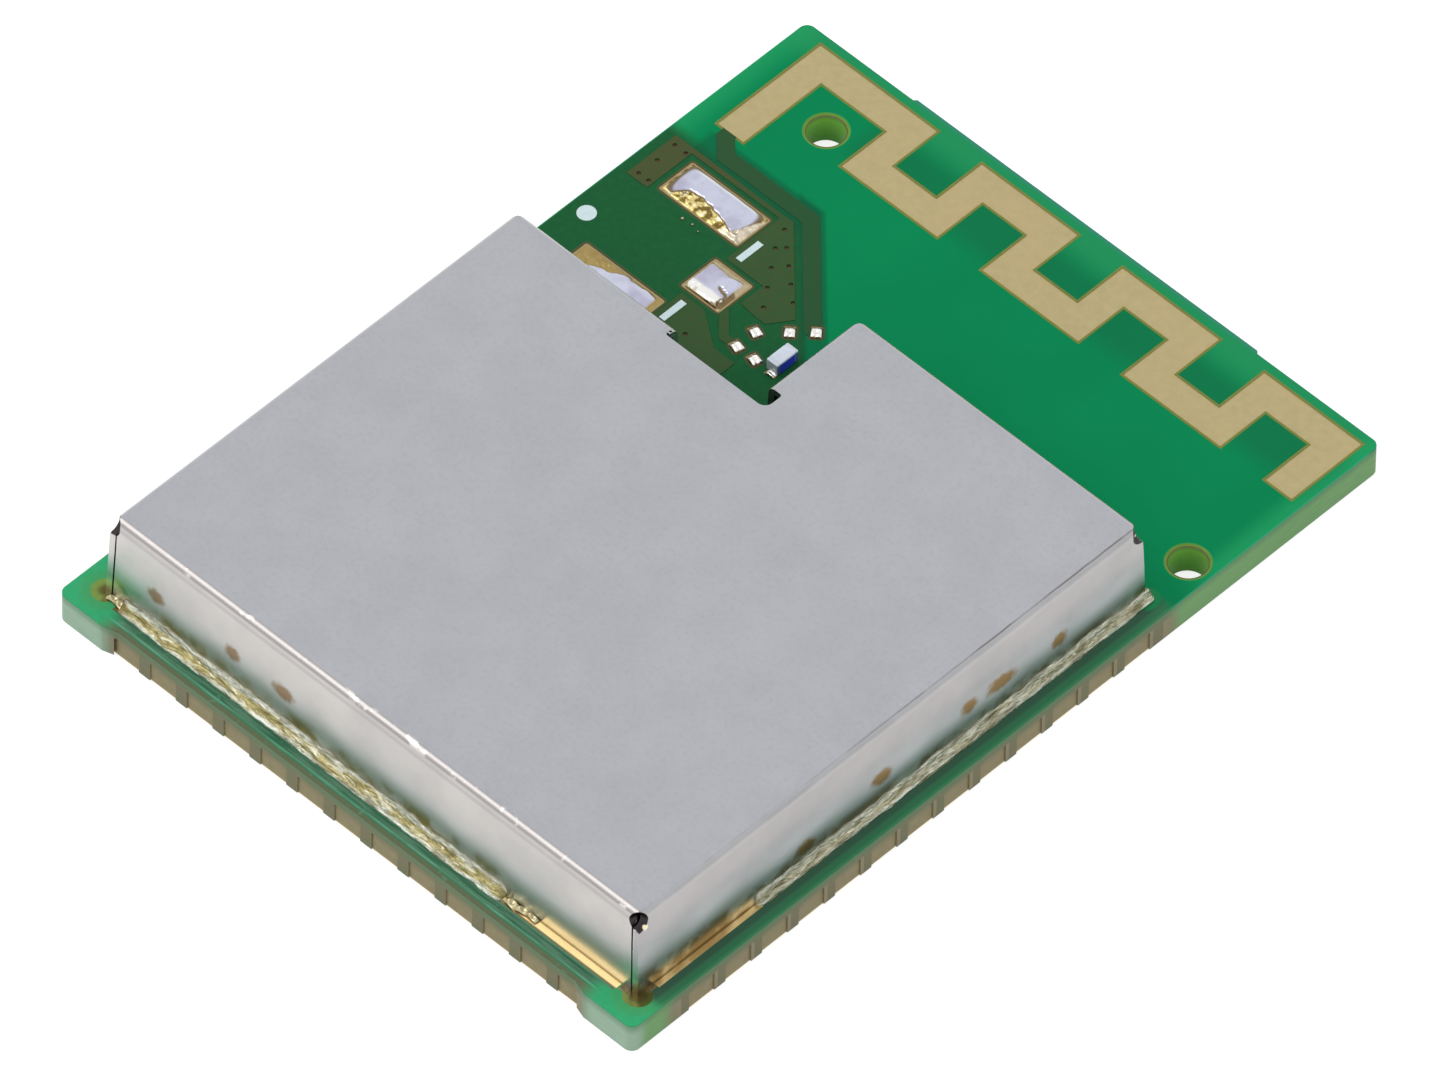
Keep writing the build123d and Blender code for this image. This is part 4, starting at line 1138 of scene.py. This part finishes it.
films = [
    land_solder(CAN_RIGHT - 0.28, CAN_FRONT - 0.06, 0.22, 0.16, 0, flux_film, 2, (30, 26)),
    land_solder(CAN_RIGHT + 0.05, CAN_FRONT + 0.30, 0.12, 0.22, 0, flux_film, 2, (26, 30)),
]
drops = [
    land_solder(CAN_LEFT + 0.26, CAN_FRONT - 0.07, 0.30, 0.16, 12, lumps, 2, (36, 26)),
    land_solder(CAN_LEFT + 0.46, CAN_FRONT - 0.08, 0.32, 0.18, -10, lumps, 2, (36, 26)),
    land_solder(3.93, CAN_FRONT - 0.085, 0.42, 0.20, -8, lumps, 2, (40, 26)),
    land_solder(4.20, CAN_FRONT - 0.07, 0.34, 0.17, 10, lumps, 2, (36, 26)),
    land_solder(4.46, CAN_FRONT - 0.06, 0.34, 0.14, -6, lumps, 2, (36, 24)),
    land_solder(part_x + 0.02, part_y - 0.34, 0.26, 0.14, 0, small_bump, 3, (26, 20)),
]
for x, y, wide in ((-5.896, 4.935, 0.07), (-5.645, 4.957, 0.055), (-5.44, 4.90, 0.04)):
    drops.append(land_solder(x, y, wide, wide * 0.8, 20, drop, 2, (12, 12), COATED))
piece("corner_flux", joined(films), finishes["flux"], sharp=60)
piece("solder_drops", joined(drops), finishes["bump"], sharp=60)


# Floor, light and camera

def brightness(tree, unseen, seen):
    """One brightness where it is seen directly, in a reflection or through glass, and
    another for the light that falls on everything else."""
    path = tree.nodes.new("ShaderNodeLightPath")
    direct = path.outputs["Is Camera Ray"]
    for kind in ("Is Glossy Ray", "Is Transmission Ray"):
        either = tree.nodes.new("ShaderNodeMath")
        either.operation = "MAXIMUM"
        tree.links.new(direct, either.inputs[0])
        tree.links.new(path.outputs[kind], either.inputs[1])
        direct = either.outputs[0]
    level = tree.nodes.new("ShaderNodeMapRange")
    level.inputs["To Min"].default_value = unseen
    level.inputs["To Max"].default_value = seen
    tree.links.new(direct, level.inputs["Value"])
    return level.outputs["Result"]


def floor():
    """A pale floor that the object's shadow falls on. Seen directly or in a reflection it is
    mostly its own white, so that it stays pale."""
    mesh = bpy.data.meshes.new("floor")
    half, level = 0.6, -0.02 * MM
    corners = [(-half, -half, level), (half, -half, level), (half, half, level), (-half, half, level)]
    mesh.from_pydata(corners, [], [(0, 1, 2, 3)])
    thing = bpy.data.objects.new("floor", mesh)
    bpy.context.scene.collection.objects.link(thing)
    material = bpy.data.materials.new("floor")
    material.use_nodes = True
    tree = material.node_tree
    shader = tree.nodes["Principled BSDF"]
    shader.inputs["Base Color"].default_value = (0.4, 0.4, 0.4, 1)
    shader.inputs["Roughness"].default_value = 0.9
    shader.inputs["Specular IOR Level"].default_value = 0.0
    shader.inputs["Emission Color"].default_value = (1, 1, 1, 1)
    tree.links.new(brightness(tree, 0.0, 0.78), shader.inputs["Emission Strength"])
    mesh.materials.append(material)


def world():
    """White seen directly or in metal, and a little less for the light on everything else."""
    sky = bpy.data.worlds.new("studio")
    bpy.context.scene.world = sky
    sky.use_nodes = True
    tree = sky.node_tree
    background = tree.nodes["Background"]
    background.inputs["Color"].default_value = (1, 1, 1, 1)
    tree.links.new(brightness(tree, 0.9, 1.0), background.inputs["Strength"])


def softbox(name, towards, size, distance, power):
    """A square lamp in that direction from the module, facing it."""
    lamp = bpy.data.lights.new(name, "AREA")
    lamp.shape = "SQUARE"
    lamp.size = size
    lamp.energy = power
    thing = bpy.data.objects.new(name, lamp)
    direction = Vector(towards).normalized()
    thing.location = direction * distance
    thing.rotation_euler = direction.to_track_quat("Z", "Y").to_euler()
    bpy.context.scene.collection.objects.link(thing)


def camera():
    """The photograph's viewpoint: a long lens from the front right, 49.5 degrees up."""
    azimuth, elevation, roll = (math.radians(a) for a in (43.576, 49.49, 0.985))
    distance = 0.5568
    target = Vector((-0.057, 0.014, 0)) * MM
    across = Vector((math.cos(azimuth), math.sin(azimuth), 0))
    flat = math.cos(elevation)
    view = Vector((-math.sin(azimuth) * flat, math.cos(azimuth) * flat, -math.sin(elevation)))
    up = across.cross(view)
    across, up = (
        across * math.cos(roll) + up * math.sin(roll),
        up * math.cos(roll) - across * math.sin(roll),
    )
    lens = bpy.data.cameras.new("camera")
    lens.sensor_width = 36
    lens.lens = 720.2
    lens.clip_start = 0.01
    thing = bpy.data.objects.new("camera", lens)
    axes = Matrix((across, up, -view)).transposed()
    thing.matrix_world = Matrix.Translation(target - view * distance) @ axes.to_4x4()
    bpy.context.scene.collection.objects.link(thing)
    bpy.context.scene.camera = thing


floor()
world()
softbox("key", (-0.45, -0.36, 0.82), 0.25, 0.5, 0.45)
camera()
bpy.context.scene.view_settings.view_transform = "Standard"
